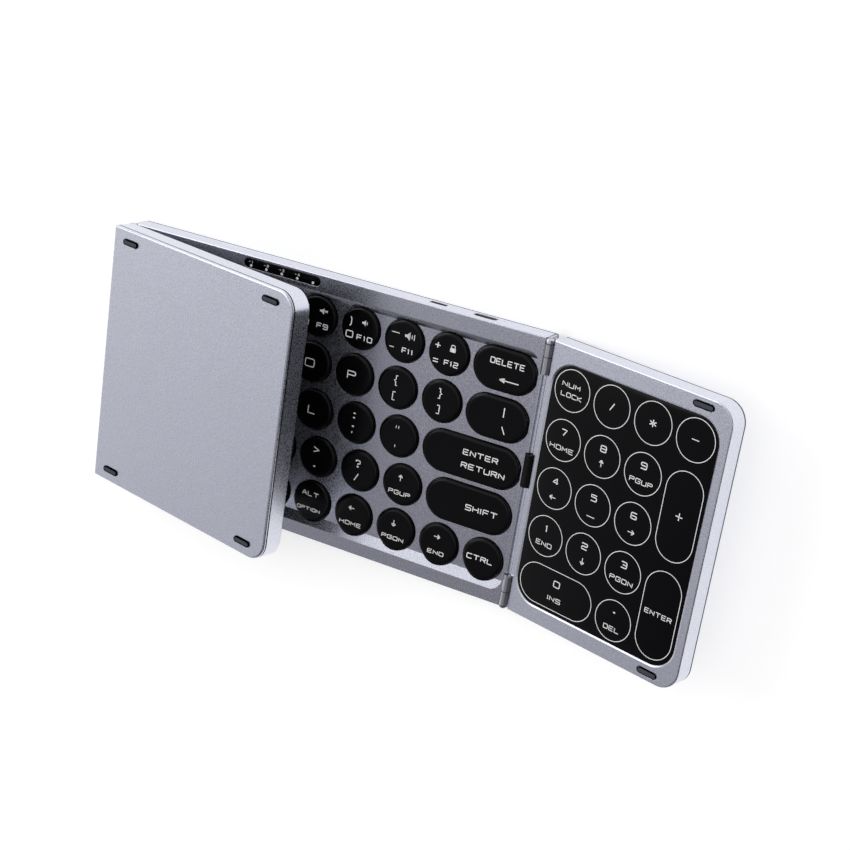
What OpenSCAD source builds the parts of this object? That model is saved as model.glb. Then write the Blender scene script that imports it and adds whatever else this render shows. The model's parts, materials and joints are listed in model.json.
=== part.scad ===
// Folding keyboard of three hinged panels, in millimetres.
// The middle panel lies on its feet. The left panel is folded over it and the number panel is raised.
// +X runs from the left panel's hinge to the number panel, +Y to the back edge, +Z up.

/* [Panels] */
// Depth of the three panels, front to back
panel_depth = 99; // [98.5:0.5:101]
// Thickness of one panel without its feet
panel_t = 8.4; // [8.4:0.1:9]
// Distance between the two hinge axes
axis_gap = 170; // [170:0.5:173]
// Width of the left panel from its hinge axis
left_w = 95; // [94.5:0.5:95.5]
// Width of the number panel from its hinge axis
number_w = 72.8; // [72.6:0.1:73.6]
// Radius of the corners at the free ends
corner_r = 7.5; // [5:0.5:8]
// Thickness of the side walls
wall_t = 1.3; // [1.2:0.1:1.4]
// Thickness of the back covers
cover_t = 1; // [0.9:0.1:1.1]

/* [Pose] */
// Angle of the left panel from flat
left_fold = 165.7; // [150:0.1:180]
// Angle of the number panel from flat
number_fold = 15.4; // [0:0.1:40]

/* [Keys] */
// Diameter of a round key
key_d = 15.2; // [14.8:0.1:15.4]
// Distance between keys in a row
key_pitch = 17.5; // [17.5:0.1:17.6]
// Distance between rows
row_pitch = 17.25; // [17.2:0.05:17.3]
// Depth of the key tops below the rim
key_sink = 0.4; // [0.4:0.1:0.6]
// Depth of the deck below the rim
deck_sink = 1.6; // [1.5:0.1:1.7]
// Travel of a key
key_travel = 1.1; // [0.8:0.1:1.1]

/* [Hinges] */
// Height of the hinge axis above the rims
axis_rise = 0.25; // [0.25:0.01:0.35]
// Distance from the hinge axis to a panel's end face
end_gap = 0.3; // [0.3:0.01:0.35]
// Radius of a hinge knuckle
knuckle_r = 1.5; // [1.4:0.05:1.5]
// Radius of a hinge pin
pin_r = 0.6; // [0.5:0.05:0.7]
// Length of a whole barrel, with its pin head
barrel_len = 12.2; // [11.6:0.1:12.4]
// Length of the inner knuckle, on the side panel
inner_knuckle = 6; // [5.5:0.1:6.2]

/* [Ports and feet] */
// Middle of the charging port, from the middle of the panel
port_x = 59; // [56:0.5:60]
// Middle of the power switch, from the middle of the panel
switch_x = 40.8; // [38:0.2:42]
// Travel of the power switch
switch_travel = 2; // [1.5:0.1:2.2]
// Length of a rubber foot
foot_len = 8; // [6:0.5:9]
// Width of a rubber foot
foot_w = 2.4; // [2.4:0.1:2.8]
// Height of a foot below the back cover
foot_proud = 0.6; // [0.4:0.1:0.8]

/* [Hidden] */
$fn = 48;
half_d = panel_depth / 2;
half_gap = axis_gap / 2;
edge_round = 0.8;
rim_round = 0.5;
hinge_rim_round = 0.8;
groove = 0.3;
hinge_corner_r = 0.8;
fit = 0.1;
over = 5;

// Heights below the rim
deck_t = 0.8;
deck_under = deck_sink + deck_t;
cover_top = panel_t - cover_t;
pad_t = 0.5;
pad_top = cover_top - pad_t;
inner_corner_r = 0.3;

// Bosses, screws and feet
boss_r = 1.8;
screw_r = 0.6;
screw_head_r = 1;
screw_head_t = 0.5;
boss_hole_r = screw_r + 0.02;
foot_sink = 0.3;
foot_inset_y = 4.8;
middle_foot_x = 75;
side_foot_u = 9.9;
bumper_inset_u = 11.5;
bumper_y = 46.6;
bumper_rise = 0.35;

// Recess for the keys, measured in the panel's own frame
recess_end = 2.2;
recess_front = half_d - 5.1;
recess_back = half_d - 6.1;
front_slope = 3.6;
back_slope = 2.4;
recess_corner_r = 5;

// Keys
key_r = key_d / 2;
key_clear = 0.35;
cap_h = 2.5;
cap_wall = 0.8;
cap_top_t = 0.8;
cap_chamfer = 0.5;
dish_depth = 0.2;
dish_rim = 1.2;
tab_out = 0.65;
tab_w = 3;
tab_t = 0.4;
stem_r = 1.6;
stem_end = 2.7;
sheet_t = 0.15;
dome_base_r = 3.2;
dome_top_r = 1.8;
dome_top = 2.75;
dome_wall = 0.5;

// Plate and boards under the keys: a pressed key stops just above the sheet
plate_top = key_sink + cap_h + key_travel + sheet_t + 0.05;
plate_t = 0.3;
board_top = plate_top + plate_t + 0.2;
board_t = 0.6;
plate_inset = [3.5, 7, 7.7];
board_y = [26, 47.8];
board_half = 80;
board_leg = [75.5, 9, 30];
magnet_room = [82, 44.5];
chip_t = 0.9;
CHIPS = [[8, 33, 7], [24, 36, 5], [-14, 32, 4]];
battery_at = [-62, -24];
battery_size = [54, 42, 2.2];

// Centres of the columns of the first, third and fourth row, right of the middle, and the shift of all rows
// to the front
rows_forward = 0.45;
top_row_x = -3.5;
third_row_x = -0.25;
low_row_x = 3.9;
wide_end = 82.1;

// Hinge leaves, notches and screws
notch_r = knuckle_r + 0.3;
notch_gap = 0.3;
head_len = [0.8, 1.6];
leaf_t = 0.95;
leaf_gap = 0.05;
leaf_low = 7;
leaf_high = 0.7;
leaf_screw_z = 4.6;
leaf_screw_r = 0.4;
leaf_head_r = 0.8;
leaf_head_t = 0.5;
leaf_screw_len = 2.3;
block_u = 3.2;
bore_clear = 0.05;
barrel_end = half_d - 0.2;

// Flat cable and the sleeve over it
sleeve_y = 2.3;
sleeve_len = 11.6;
sleeve_foot_len = 1.8;
sleeve_foot_low = 4.5;
cable_w = 8;
cable_t = 0.12;
cable_r = knuckle_r + 0.15;
cable_u = 0.42;
cable_low = board_top + board_t + axis_rise + cable_t / 2;
cable_in = 12;
cable_room = 0.2;
cable_start = atan(cable_u / cable_r);

// Power switch and port in the back wall
switch_z = 4.4;
switch_slot = [6.3, 2.4];
knob = [2.6, 1.4];
knob_end = 0.25;
port_z = 4.2;
port_size = [8.94, 3.2];
port_len = 7;
port_shell_t = 0.25;
tongue_t = 0.7;

// Indicator window in the back rim
window_x = -19.7;
window_y = half_d - 2.9;
window_size = [32, 3.4];
window_t = 0.8;
light_pitch = 6.5;
light_x = -32.7;
light_r = 0.6;

// Touch glass on the number panel
glass_u = [3.5, number_w - 3.5];
glass_y = 43.35;
glass_r = 8.4;
glass_sink = 0.3;
lip_w = 0.5;
glass_t = 0.7;
touch_board_t = 0.6;
ledge = 1.5;
number_deck_top = 1.7;
number_deck_under = number_deck_top + deck_t;
glass_fit = 0.1;

magnet = [8, 2.4, 1.5];
magnet_inset = 7;
magnet_y = 46.6;
side_magnet_y = 44.6;

// Where the panel frames stand in the whole
// The furthest x of a turned side panel, at the rounded back edge of its free end or of its hinge end
function reach(w, fold) = max([for (p = [[w - edge_round, panel_t - edge_round, edge_round],
    [end_gap + rim_round, panel_t - rim_round, rim_round]])
    p[0] * cos(fold) + (p[1] + axis_rise) * sin(fold) + p[2]]);
centre_x = (reach(number_w, number_fold) - reach(left_w, left_fold)) / 2;
rim_z = panel_t + foot_proud;

// Round keys of the middle panel in sight: name, column and row
ROUND_KEYS = [
    ["key_f9", top_row_x, 0], ["key_f10", top_row_x + key_pitch, 0],
    ["key_f11", top_row_x + 2 * key_pitch, 0], ["key_f12", top_row_x + 3 * key_pitch, 0],
    ["key_o", top_row_x, 1], ["key_p", top_row_x + key_pitch, 1],
    ["key_left_bracket", top_row_x + 2 * key_pitch, 1], ["key_right_bracket", top_row_x + 3 * key_pitch, 1],
    ["key_l", third_row_x, 2], ["key_semicolon", third_row_x + key_pitch, 2],
    ["key_quote", third_row_x + 2 * key_pitch, 2],
    ["key_period", low_row_x, 3], ["key_slash", low_row_x + key_pitch, 3],
    ["key_page_up", low_row_x + 2 * key_pitch, 3],
    ["key_option", low_row_x, 4], ["key_home", low_row_x + key_pitch, 4],
    ["key_page_down", low_row_x + 2 * key_pitch, 4], ["key_end", low_row_x + 3 * key_pitch, 4],
    ["key_right_ctrl", low_row_x + 4 * key_pitch, 4]];
// Wide keys: name, left end, right end and row
space_start = -80.9;
WIDE_KEYS = [
    ["key_delete", 58.5, wide_end, 0], ["key_backslash", 58.5, wide_end, 1],
    ["key_enter", 44.5, wide_end, 2], ["key_right_shift", 48.6, 81.7, 3],
    ["key_space", space_start, low_row_x - key_pitch + key_r, 4]];
// Round keys of the middle panel under the folded left panel: column and row
COVERED_KEYS = [
    for (i = [1 : 4], row = [0, 1]) [top_row_x - i * key_pitch, row],
    for (i = [1 : 4]) [third_row_x - i * key_pitch, 2],
    for (i = [1 : 4]) [low_row_x - i * key_pitch, 3]];
// Round keys of the left panel
LEFT_KEYS = [for (i = [0 : 4], row = [0 : 4]) [12 + i * key_pitch, row]];

function row_y(row) = (2 - row) * row_pitch - rows_forward;

// The middle panel's frame has its origin at the rim, over the middle of the panel
module in_middle() { translate([-centre_x, 0, rim_z]) children(); }

// A side panel's frame has its origin on the rim, under the hinge axis, with x running to the free end
module in_number() {
    translate([half_gap - centre_x, 0, rim_z + axis_rise]) rotate([0, -number_fold, 0])
        translate([0, 0, -axis_rise]) children();
}
module in_left() {
    translate([-half_gap - centre_x, 0, rim_z + axis_rise]) rotate([0, left_fold, 0])
        translate([0, 0, -axis_rise]) mirror([1, 0, 0]) children();
}

// The frame of a hinge axis, with x running out to the side panel: side is 1 at the number panel, -1 at the
// left panel
module at_axis(side) {
    translate([side * half_gap - centre_x, 0, rim_z + axis_rise])
        mirror([side < 0 ? 1 : 0, 0, 0]) children();
}

// Copies at the front and at the back
module front_and_back() {
    children();
    mirror([0, 1, 0]) children();
}

// Corner to take off a square: the part of a square outside a quarter circle
module nick(r) {
    difference() {
        square(r + 1);
        circle(r);
    }
}

// Rectangle from x0 to x1 and y0 to y1 with corner radii r0 at the x0 end and r1 at the x1 end
module rounded(x0, x1, y0, y1, r0, r1) {
    difference() {
        translate([x0, y0]) square([x1 - x0, y1 - y0]);
        translate([x1 - r1, y1 - r1]) nick(r1);
        translate([x1 - r1, y0 + r1]) mirror([0, 1]) nick(r1);
        translate([x0 + r0, y1 - r0]) mirror([1, 0]) nick(r0);
        translate([x0 + r0, y0 + r0]) mirror([1, 0]) mirror([0, 1]) nick(r0);
    }
}

// Flat pill with its length along x, or a circle where it is no longer than wide
module pill(len, w) {
    if (len > w) {
        square([len - w, w], center = true);
        for (s = [-1, 1]) translate([s * (len - w) / 2, 0]) circle(w / 2);
    }
    else circle(w / 2);
}

// Prism along y from a profile in x and z
module along_y(y0, y1) {
    translate([0, y1, 0]) rotate([90, 0, 0]) linear_extrude(y1 - y0) children();
}

// Prism along x from a profile in y and z
module along_x(x0, x1) {
    translate([x0, 0, 0]) rotate([90, 0, 90]) linear_extrude(x1 - x0) children();
}

// Profile of a panel's edge, from x = -depth out to its wall at x = 0, rounded at the back and at the rim
module edge_profile(depth, r, rim = rim_round) {
    difference() {
        translate([-depth, -panel_t]) square([depth, panel_t]);
        translate([-r, -panel_t + r]) mirror([0, 1]) nick(r);
        translate([-rim, -rim]) nick(rim);
    }
}

// Solid outline of a panel from its hinge end x0 to its free end x1, where its corners have the radius r1
module panel_block(x0, x1, r1) {
    free = r1 > hinge_corner_r;
    front_and_back() if (free) translate([x1 - r1, half_d - r1, 0]) rotate_extrude(angle = 90)
        translate([r1, 0]) edge_profile(r1, edge_round);
    intersection() {
        translate([0, 0, -panel_t]) linear_extrude(panel_t) difference() {
            rounded(x0, x1, -half_d, half_d, hinge_corner_r, r1);
            if (free) for (s = [-1, 1]) translate([x1 - r1 / 2 + 1, s * (half_d - r1 / 2 + 1)])
                square(r1 + 2, center = true);
        }
        along_y(-half_d, half_d) {
            middle = (x0 + x1) / 2;
            if (free) translate([x1, 0]) edge_profile(x1 - middle, edge_round);
            else translate([x1, 0]) edge_profile(x1 - middle, rim_round, hinge_rim_round);
            translate([x0, 0]) mirror([1, 0]) edge_profile(middle - x0, rim_round, hinge_rim_round);
        }
        along_x(x0, x1) for (s = [0, 1])
            mirror([s, 0]) translate([half_d, 0]) edge_profile(half_d, edge_round);
    }
}

// Walls and deck of a panel: the block above its back cover, with a groove all round next to the cover
module panel_shell(x0, x1, r1, top) {
    difference() {
        intersection() {
            panel_block(x0, x1, r1);
            union() {
                translate([x0 - 1, -half_d - 1, -cover_top + groove])
                    cube([x1 - x0 + 2, panel_depth + 2, panel_t]);
                translate([0, 0, -cover_top]) linear_extrude(panel_t / 2)
                    rounded(x0 + groove, x1 - groove, -half_d + groove, half_d - groove,
                        hinge_corner_r - groove, r1 - groove);
            }
        }
        panel_cavity(x0, x1, r1, top);
    }
}

// Space inside a panel's walls, from a depth below the rim down through the back
module panel_cavity(x0, x1, r1, top) {
    translate([0, 0, -panel_t - over]) linear_extrude(panel_t + over - top)
        rounded(x0 + wall_t, x1 - wall_t, -half_d + wall_t, half_d - wall_t,
            inner_corner_r, max(r1 - wall_t, inner_corner_r));
}

// Recess that the keys stand in, sloped at its front and back
module key_recess(x0, x1) {
    intersection() {
        along_x(x0, x1)
            polygon([[-recess_front + front_slope, -deck_sink], [recess_back - back_slope, -deck_sink],
                [recess_back, 0], [recess_back, over], [-recess_front, over], [-recess_front, 0]]);
        translate([0, 0, -deck_sink - over]) linear_extrude(deck_sink + 2 * over)
            rounded(x0, x1, -recess_front, recess_back, recess_corner_r, recess_corner_r);
    }
}

// Tapped post for a back cover's screw, from the deck down to the cover's pad
module boss() {
    translate([0, 0, -pad_top]) difference() {
        cylinder(r = boss_r, h = pad_top - deck_under + 0.2);
        translate([0, 0, -1]) cylinder(r = boss_hole_r, h = pad_top - deck_under);
    }
}

// Back cover of a panel over its whole outline, with a pad, a foot recess and a sunk screw hole at each foot
module back_cover(x0, x1, r1, foot_x) {
    difference() {
        union() {
            intersection() {
                panel_block(x0, x1, r1);
                translate([x0 - 1, -half_d - 1, -panel_t - 1])
                    cube([x1 - x0 + 2, panel_depth + 2, cover_t + 1]);
            }
            at_feet(foot_x) translate([0, 0, -cover_top - 0.1]) cylinder(r = boss_r, h = pad_t + 0.1);
        }
        at_feet(foot_x) {
            translate([0, 0, -panel_t - 1]) linear_extrude(foot_sink + 1) pill(foot_len + fit, foot_w + fit);
            translate([0, 0, -panel_t - 1])
                cylinder(r = screw_head_r + fit, h = 1 + foot_sink + screw_head_t);
            translate([0, 0, -panel_t]) cylinder(r = screw_r + fit, h = 3);
        }
    }
}

// Copies at the four feet of a panel
module at_feet(foot_x) {
    for (x = foot_x, y = [-1, 1]) translate([x, y * (half_d - foot_inset_y), 0]) children();
}

module feet(foot_x) {
    at_feet(foot_x) translate([0, 0, -panel_t - foot_proud])
        linear_extrude(foot_sink + foot_proud) pill(foot_len, foot_w);
}

// Small bumpers on a side panel's inner face, which keep the closed panels apart
module bumpers(w) {
    front_and_back() translate([w - bumper_inset_u, bumper_y, -foot_sink])
        linear_extrude(foot_sink + bumper_rise) pill(foot_len, foot_w);
}
module bumper_recesses(w) {
    front_and_back() translate([w - bumper_inset_u, bumper_y, -foot_sink])
        linear_extrude(foot_sink + over) pill(foot_len + fit, foot_w + fit);
}

module cover_screws(foot_x) {
    at_feet(foot_x) translate([0, 0, -panel_t + foot_sink]) {
        cylinder(r = screw_head_r, h = screw_head_t);
        cylinder(r = screw_r, h = panel_t - foot_sink - deck_under - 1.2);
    }
}

// Distances along y of a barrel's joints, from the outer end inwards: i is 0 at the front and 1 at the back
function knuckle_y(i) = [barrel_end - head_len[i], barrel_end - barrel_len + inner_knuckle,
    barrel_end - barrel_len];

// Copies at a hinge's two barrels, with y running outwards
module at_barrels() {
    mirror([0, 1, 0]) at_barrel(0) children();
    at_barrel(1) children();
}
module at_barrel(i) {
    $barrel = i;
    children();
}

// Length along y of the leaf on the given knuckle, at barrel i
function leaf_span(which, i) = which == "outer" ? [knuckle_y(i)[1] + 0.05, half_d - 0.2]
    : [knuckle_y(i)[2], knuckle_y(i)[1] - 0.05];
function mid(span) = (span[0] + span[1]) / 2;

// Notch in a panel's end for both barrels and the flat cable's sleeve, in the frame of the hinge axis
module hinge_notches() {
    at_barrels() along_y(knuckle_y($barrel)[2] - notch_gap, half_d + 1) circle(notch_r);
    along_y(sleeve_y - sleeve_len / 2 - notch_gap, sleeve_y + sleeve_len / 2 + notch_gap) circle(notch_r);
}

// Pockets for a panel's own leaves and the groove for the flat cable, in the frame of the hinge axis
module leaf_pockets(which) {
    at_barrels() {
        span = leaf_span(which, $barrel);
        along_y(span[0] - fit, span[1] + (which == "outer" ? 1 : fit))
            translate([-1, -leaf_low - fit]) square([1 + end_gap + leaf_gap + leaf_t + fit, leaf_low]);
        translate([0, mid(span), -leaf_screw_z]) rotate([0, 90, 0])
            cylinder(r = leaf_screw_r + 0.02, h = block_u - 0.1);
    }
    along_y(sleeve_y - cable_w / 2 - fit, sleeve_y + cable_w / 2 + fit) {
        translate([-1, -cable_low - cable_room]) square([1 + cable_u + cable_t / 2 + fit, cable_low]);
        translate([0, -cable_low - cable_room]) square([block_u, 2 * cable_room]);
    }
}

// Block behind each leaf, in the frame of the hinge axis
module leaf_blocks(which) {
    at_barrels() {
        span = leaf_span(which, $barrel);
        along_y(span[0] - 0.5, span[1] + (which == "outer" ? -0.8 : 0.8))
            translate([end_gap + 0.2, -leaf_low - 0.6])
                square([block_u - end_gap - 0.2, leaf_low + 0.5 - deck_under]);
    }
}

// Knuckle that ends at y1, with its leaf over a span along y, in the frame of the hinge axis
module leaf(span, y1, bore_r) {
    difference() {
        union() {
            along_y(span[0], y1) circle(knuckle_r);
            difference() {
                along_y(span[0], span[1]) translate([end_gap + leaf_gap, -leaf_low])
                    square([leaf_t, leaf_low - leaf_high]);
                along_y(y1, half_d) circle(knuckle_r);
            }
        }
        along_y(span[0] - 1, y1 + 1) circle(bore_r);
        translate([0, mid(span), -leaf_screw_z]) rotate([0, 90, 0]) {
            cylinder(r = leaf_screw_r + fit, h = over);
            cylinder(r = leaf_head_r + fit, h = end_gap + leaf_gap + leaf_head_t);
        }
    }
}

// Leaves of a side panel: the inner knuckle of each barrel
module inner_leaves() {
    translate([0, 0, axis_rise]) at_barrels()
        leaf(leaf_span("inner", $barrel), leaf_span("inner", $barrel)[1], pin_r + bore_clear);
}

module leaf_screws(which) {
    at_barrels() translate([end_gap + leaf_gap, mid(leaf_span(which, $barrel)), -leaf_screw_z])
        rotate([0, 90, 0]) {
            cylinder(r = leaf_head_r, h = leaf_head_t);
            cylinder(r = leaf_screw_r, h = leaf_screw_len);
        }
}

// Cuts that a panel's hinge end needs, in the panel's own frame with the hinge axis over x = 0
module hinge_cuts(which) {
    translate([0, 0, axis_rise]) {
        hinge_notches();
        leaf_pockets(which);
    }
}

// Half profile of a key cap, with a shallow dish, a chamfered edge and its hollow underside
module cap_profile() {
    polygon([[0, -key_sink - dish_depth], [key_r - dish_rim, -key_sink], [key_r - cap_chamfer, -key_sink],
        [key_r, -key_sink - cap_chamfer], [key_r, -key_sink - cap_h],
        [key_r - cap_wall, -key_sink - cap_h], [key_r - cap_wall, -key_sink - cap_top_t - dish_depth],
        [0, -key_sink - cap_top_t - dish_depth]]);
}

// Key of the given length, round at its ends, with two tabs that hold it under the deck
module key(len = key_d) {
    straight = len - key_d;
    low = -key_sink - cap_h;
    for (s = straight > 0 ? [-1, 1] : [1]) translate([s * straight / 2, 0, 0]) {
        if (straight > 0) intersection() {
            rotate_extrude() cap_profile();
            translate([s > 0 ? 0 : -over * 2, -over * 2, -over]) cube([over * 2, over * 4, over]);
        }
        else rotate_extrude() cap_profile();
    }
    if (straight > 0) along_x(-straight / 2, straight / 2) {
        cap_profile();
        mirror([1, 0]) cap_profile();
    }
    translate([0, 0, -stem_end]) cylinder(r = stem_r, h = stem_end - key_sink - cap_top_t);
    for (s = [-1, 1]) translate([s * (len / 2 - cap_wall / 2 + tab_out / 2) - (cap_wall + tab_out) / 2,
        -tab_w / 2, low]) cube([cap_wall + tab_out, tab_w, tab_t]);
}

// Hole in the deck for a key of the given length
module key_hole(len = key_d) {
    translate([0, 0, -deck_under - 1]) linear_extrude(deck_under + 2)
        pill(len + 2 * key_clear, key_d + 2 * key_clear);
}

// One rubber dome, open below
module dome() {
    translate([0, 0, -plate_top]) rotate_extrude()
        polygon([[dome_base_r - dome_wall, 0], [dome_base_r, 0], [dome_base_r, sheet_t],
            [dome_top_r, plate_top - dome_top], [0, plate_top - dome_top],
            [0, plate_top - dome_top - dome_wall],
            [dome_top_r - dome_wall, plate_top - dome_top - dome_wall], [dome_base_r - dome_wall, sheet_t]]);
}

// Rubber sheet from x0 to x1 with a dome at each of the given places
module dome_sheet(x0, x1, places) {
    difference() {
        translate([x0, row_y(4) - key_r, -plate_top])
            cube([x1 - x0, 4 * row_pitch + key_d, sheet_t]);
        for (p = places) translate([p[0], p[1], -plate_top - 1])
            cylinder(r = dome_base_r - dome_wall / 2, h = 2);
    }
    for (p = places) translate([p[0], p[1], 0]) dome();
}

// Flat cable over a hinge axis, as a profile in x and z: fold is the side panel's angle from flat
module cable_profile(fold, rise) {
    translate([-cable_in, -cable_low - cable_t / 2]) square([cable_in - cable_u, cable_t]);
    translate([-cable_u - cable_t / 2, -cable_low - cable_t / 2])
        square([cable_t, cable_low - cable_r * cos(cable_start) + cable_t]);
    intersection() {
        difference() {
            circle(cable_r + cable_t / 2);
            circle(cable_r - cable_t / 2);
        }
        polygon(concat([[0, 0]], [for (i = [0 : 6])
            let (a = -90 - cable_start + i * (fold + 2 * cable_start) / 6) 3 * [cos(a), sin(a)]]));
    }
    rotate(fold) {
        translate([cable_u - cable_t / 2, -cable_low - cable_t / 2])
            square([cable_t, cable_low - cable_r * cos(cable_start) + cable_t]);
        translate([cable_u, -cable_low - cable_t / 2]) square([cable_in - cable_u, cable_t]);
        if (rise > 0) translate([cable_in - cable_t, -cable_low - cable_t / 2]) square([cable_t, rise]);
    }
}

module flex_cable(fold, rise = 0) {
    color(amber) along_y(sleeve_y - cable_w / 2, sleeve_y + cable_w / 2) cable_profile(fold, rise);
}

// Places of the middle panel's key centres
middle_places = concat([for (k = ROUND_KEYS) [k[1], row_y(k[2])]],
    [for (k = WIDE_KEYS) [(k[1] + k[2]) / 2, row_y(k[3])]],
    [for (k = COVERED_KEYS) [k[0], row_y(k[1])]]);
left_places = [for (k = LEFT_KEYS) [k[0], row_y(k[1])]];
middle_feet_x = [-middle_foot_x, middle_foot_x];
left_feet_x = [side_foot_u, left_w - side_foot_u - 1];
number_feet_x = [side_foot_u, number_w - side_foot_u - 1];
middle_end = half_gap - end_gap;

silver = [0.72, 0.72, 0.78];
amber = [0.55, 0.33, 0.12];
green = [0.05, 0.3, 0.15];
steel = [0.62, 0.63, 0.65];
black = [0.03, 0.03, 0.035];
rubber = [0.12, 0.12, 0.13];

module middle_top_case() {
    color(silver) in_middle() difference() {
        union() {
            panel_shell(-middle_end, middle_end, hinge_corner_r, deck_under);
            at_feet(middle_feet_x) boss();
            for (s = [0, 1]) mirror([s, 0, 0]) translate([half_gap, 0, axis_rise]) mirror([1, 0, 0])
                leaf_blocks("outer");
        }
        key_recess(-half_gap + recess_end, half_gap - recess_end);
        for (k = ROUND_KEYS) translate([k[1], row_y(k[2]), 0]) key_hole();
        for (k = COVERED_KEYS) translate([k[0], row_y(k[1]), 0]) key_hole();
        for (k = WIDE_KEYS) translate([(k[1] + k[2]) / 2, row_y(k[3]), 0]) key_hole(k[2] - k[1]);
        for (s = [0, 1]) mirror([s, 0, 0]) translate([half_gap, 0, 0]) mirror([1, 0, 0]) hinge_cuts("outer");
        for (s = [0, 1]) mirror([s, 0, 0]) translate([half_gap, 0, axis_rise]) sleeve_feet(fit);
        translate([window_x, window_y, -window_t]) linear_extrude(over)
            pill(window_size[0] + fit, window_size[1] + fit);
        for (i = [0 : 4]) translate([light_x + i * light_pitch, window_y, -over])
            cylinder(r = light_r, h = over);
        along_y(half_d - 2 * wall_t, half_d + 1) {
            translate([switch_x, -switch_z]) square(switch_slot, center = true);
            translate([port_x, -port_z]) pill(port_size[0] + 2 * fit, port_size[1] + 2 * fit);
        }
    }
}

module middle_back_cover() {
    color(silver) in_middle()
        back_cover(-middle_end, middle_end, hinge_corner_r, middle_feet_x);
}

module middle_support_plate() {
    color(steel) in_middle()
        translate([-half_gap + plate_inset[0], -half_d + plate_inset[1], -plate_top - plate_t])
            cube([axis_gap - 2 * plate_inset[0], panel_depth - plate_inset[1] - plate_inset[2], plate_t]);
}

module middle_dome_sheet() {
    end = half_gap - plate_inset[0] - 0.5;
    color(rubber) in_middle() dome_sheet(-end, end, middle_places);
}

// Main board along the back edge, with a leg to the number panel's cable and one to the left panel's
module main_circuit_board() {
    color(green) in_middle() {
        translate([0, 0, -board_top - board_t]) linear_extrude(board_t) difference() {
            union() {
                translate([-board_half, board_y[0]]) square([2 * board_half, board_y[1] - board_y[0]]);
                for (s = [-1, 1]) translate([s * board_leg[0] - board_leg[1] / 2, sleeve_y - cable_w / 2])
                    square([board_leg[1], board_leg[2]]);
            }
            at_feet_2d(middle_feet_x) circle(boss_r + 0.4);
            for (s = [-1, 1]) translate([s * magnet_room[0], magnet_room[1]]) square([6, 8], center = true);
            translate([port_x - port_size[0] / 2 - 0.3, half_d - port_len - 0.6])
                square([port_size[0] + 0.6, 9]);
            translate([switch_x - 4.3, 43.2]) square([8.6, 9]);
        }
        for (i = [0 : 4]) translate([light_x + i * light_pitch - 0.8, window_y - 0.4, -board_top])
            cube([1.6, 0.8, 0.6]);
        for (c = CHIPS)
            translate([c[0], c[1], -board_top - board_t - chip_t]) cube([c[2], c[2], chip_t]);
    }
}
module at_feet_2d(foot_x) {
    for (x = foot_x, y = [-1, 1]) translate([x, y * (half_d - foot_inset_y)]) children();
}

module battery() {
    color([0.75, 0.75, 0.72]) in_middle() translate([battery_at[0], battery_at[1], -cover_top + 0.15])
        cube(battery_size);
}

// Shell of the charging socket with its tongue, open at the back wall
module usb_c_socket() {
    color(steel) in_middle() {
        difference() {
            along_y(half_d - port_len, half_d - 0.1) translate([port_x, -port_z])
                pill(port_size[0], port_size[1]);
            along_y(half_d - port_len + 0.8, half_d + 1) translate([port_x, -port_z])
                pill(port_size[0] - 2 * port_shell_t, port_size[1] - 2 * port_shell_t);
        }
        translate([port_x - 3.35, half_d - port_len + 0.5, -port_z - tongue_t / 2])
            cube([6.7, 5.2, tongue_t]);
    }
}

module power_switch_body() {
    color(black) in_middle() difference() {
        translate([switch_x - 4, 43.5, -switch_z - 1.6]) cube([8, half_d - wall_t - 43.6, 3.2]);
        translate([switch_x - 3.3, 44.7, -switch_z - 0.95]) cube([6.6, 10, 1.9]);
    }
}

// Slider at the end of its travel nearer the port: base in the body, knob in the wall's slot
module power_switch_slider() {
    x = switch_x - switch_travel / 2;
    color(black) in_middle() {
        translate([x - knob[0] / 2, 45, -switch_z - knob[1] / 2])
            cube([knob[0], half_d - knob_end - 45, knob[1]]);
        translate([x - 2, 45, -switch_z - 0.8]) cube([4, 2, 1.6]);
    }
}

module indicator_window() {
    color(black) in_middle() translate([window_x, window_y, -window_t]) linear_extrude(window_t - 0.05)
        pill(window_size[0], window_size[1]);
}

// Magnets under the rims, where the closed side panels' magnets lie over them
module middle_magnets() {
    color(steel) in_middle()
        for (x = [left_w - magnet_inset - half_gap, half_gap - number_w + magnet_inset], y = [-1, 1])
            translate([x, y * magnet_y, -deck_under - magnet[2] / 2])
                cube(magnet - [0, 0, 0.1], center = true);
}

module side_magnets(w, top) {
    front_and_back() translate([w - magnet_inset, side_magnet_y, -top - magnet[2] / 2])
        cube([magnet[1], magnet[0] - 2, magnet[2] - 0.1], center = true);
}

module middle_feet() {
    color(rubber) in_middle() feet(middle_feet_x);
}

module middle_screws() {
    color(steel) {
        in_middle() cover_screws(middle_feet_x);
        for (s = [-1, 1]) at_axis(s) mirror([1, 0, 0]) leaf_screws("outer");
    }
}

// Outer knuckles of the four barrels, fixed to the middle panel
module middle_hinge_leaves() {
    color("silver") for (s = [-1, 1]) at_axis(s) mirror([1, 0, 0]) at_barrels()
        leaf(leaf_span("outer", $barrel), knuckle_y($barrel)[0], pin_r);
}

module hinge_pins() {
    color("silver") for (s = [-1, 1]) at_axis(s) at_barrels() {
        along_y(knuckle_y($barrel)[2] + 0.3, knuckle_y($barrel)[0]) circle(pin_r);
        along_y(knuckle_y($barrel)[0], barrel_end) circle(knuckle_r - 0.1);
    }
}

// Feet of a cable sleeve, set in the middle panel's end face, in the frame of the hinge axis
module sleeve_feet(grow) {
    for (e = [-1, 1]) {
        y = sleeve_y + e * (sleeve_len - sleeve_foot_len) / 2;
        along_y(y - sleeve_foot_len / 2 - grow, y + sleeve_foot_len / 2 + grow)
            translate([-end_gap - leaf_t - 0.05 - grow, -sleeve_foot_low - grow])
                square([leaf_t + grow * 2, sleeve_foot_low - leaf_high + grow]);
    }
}

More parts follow.
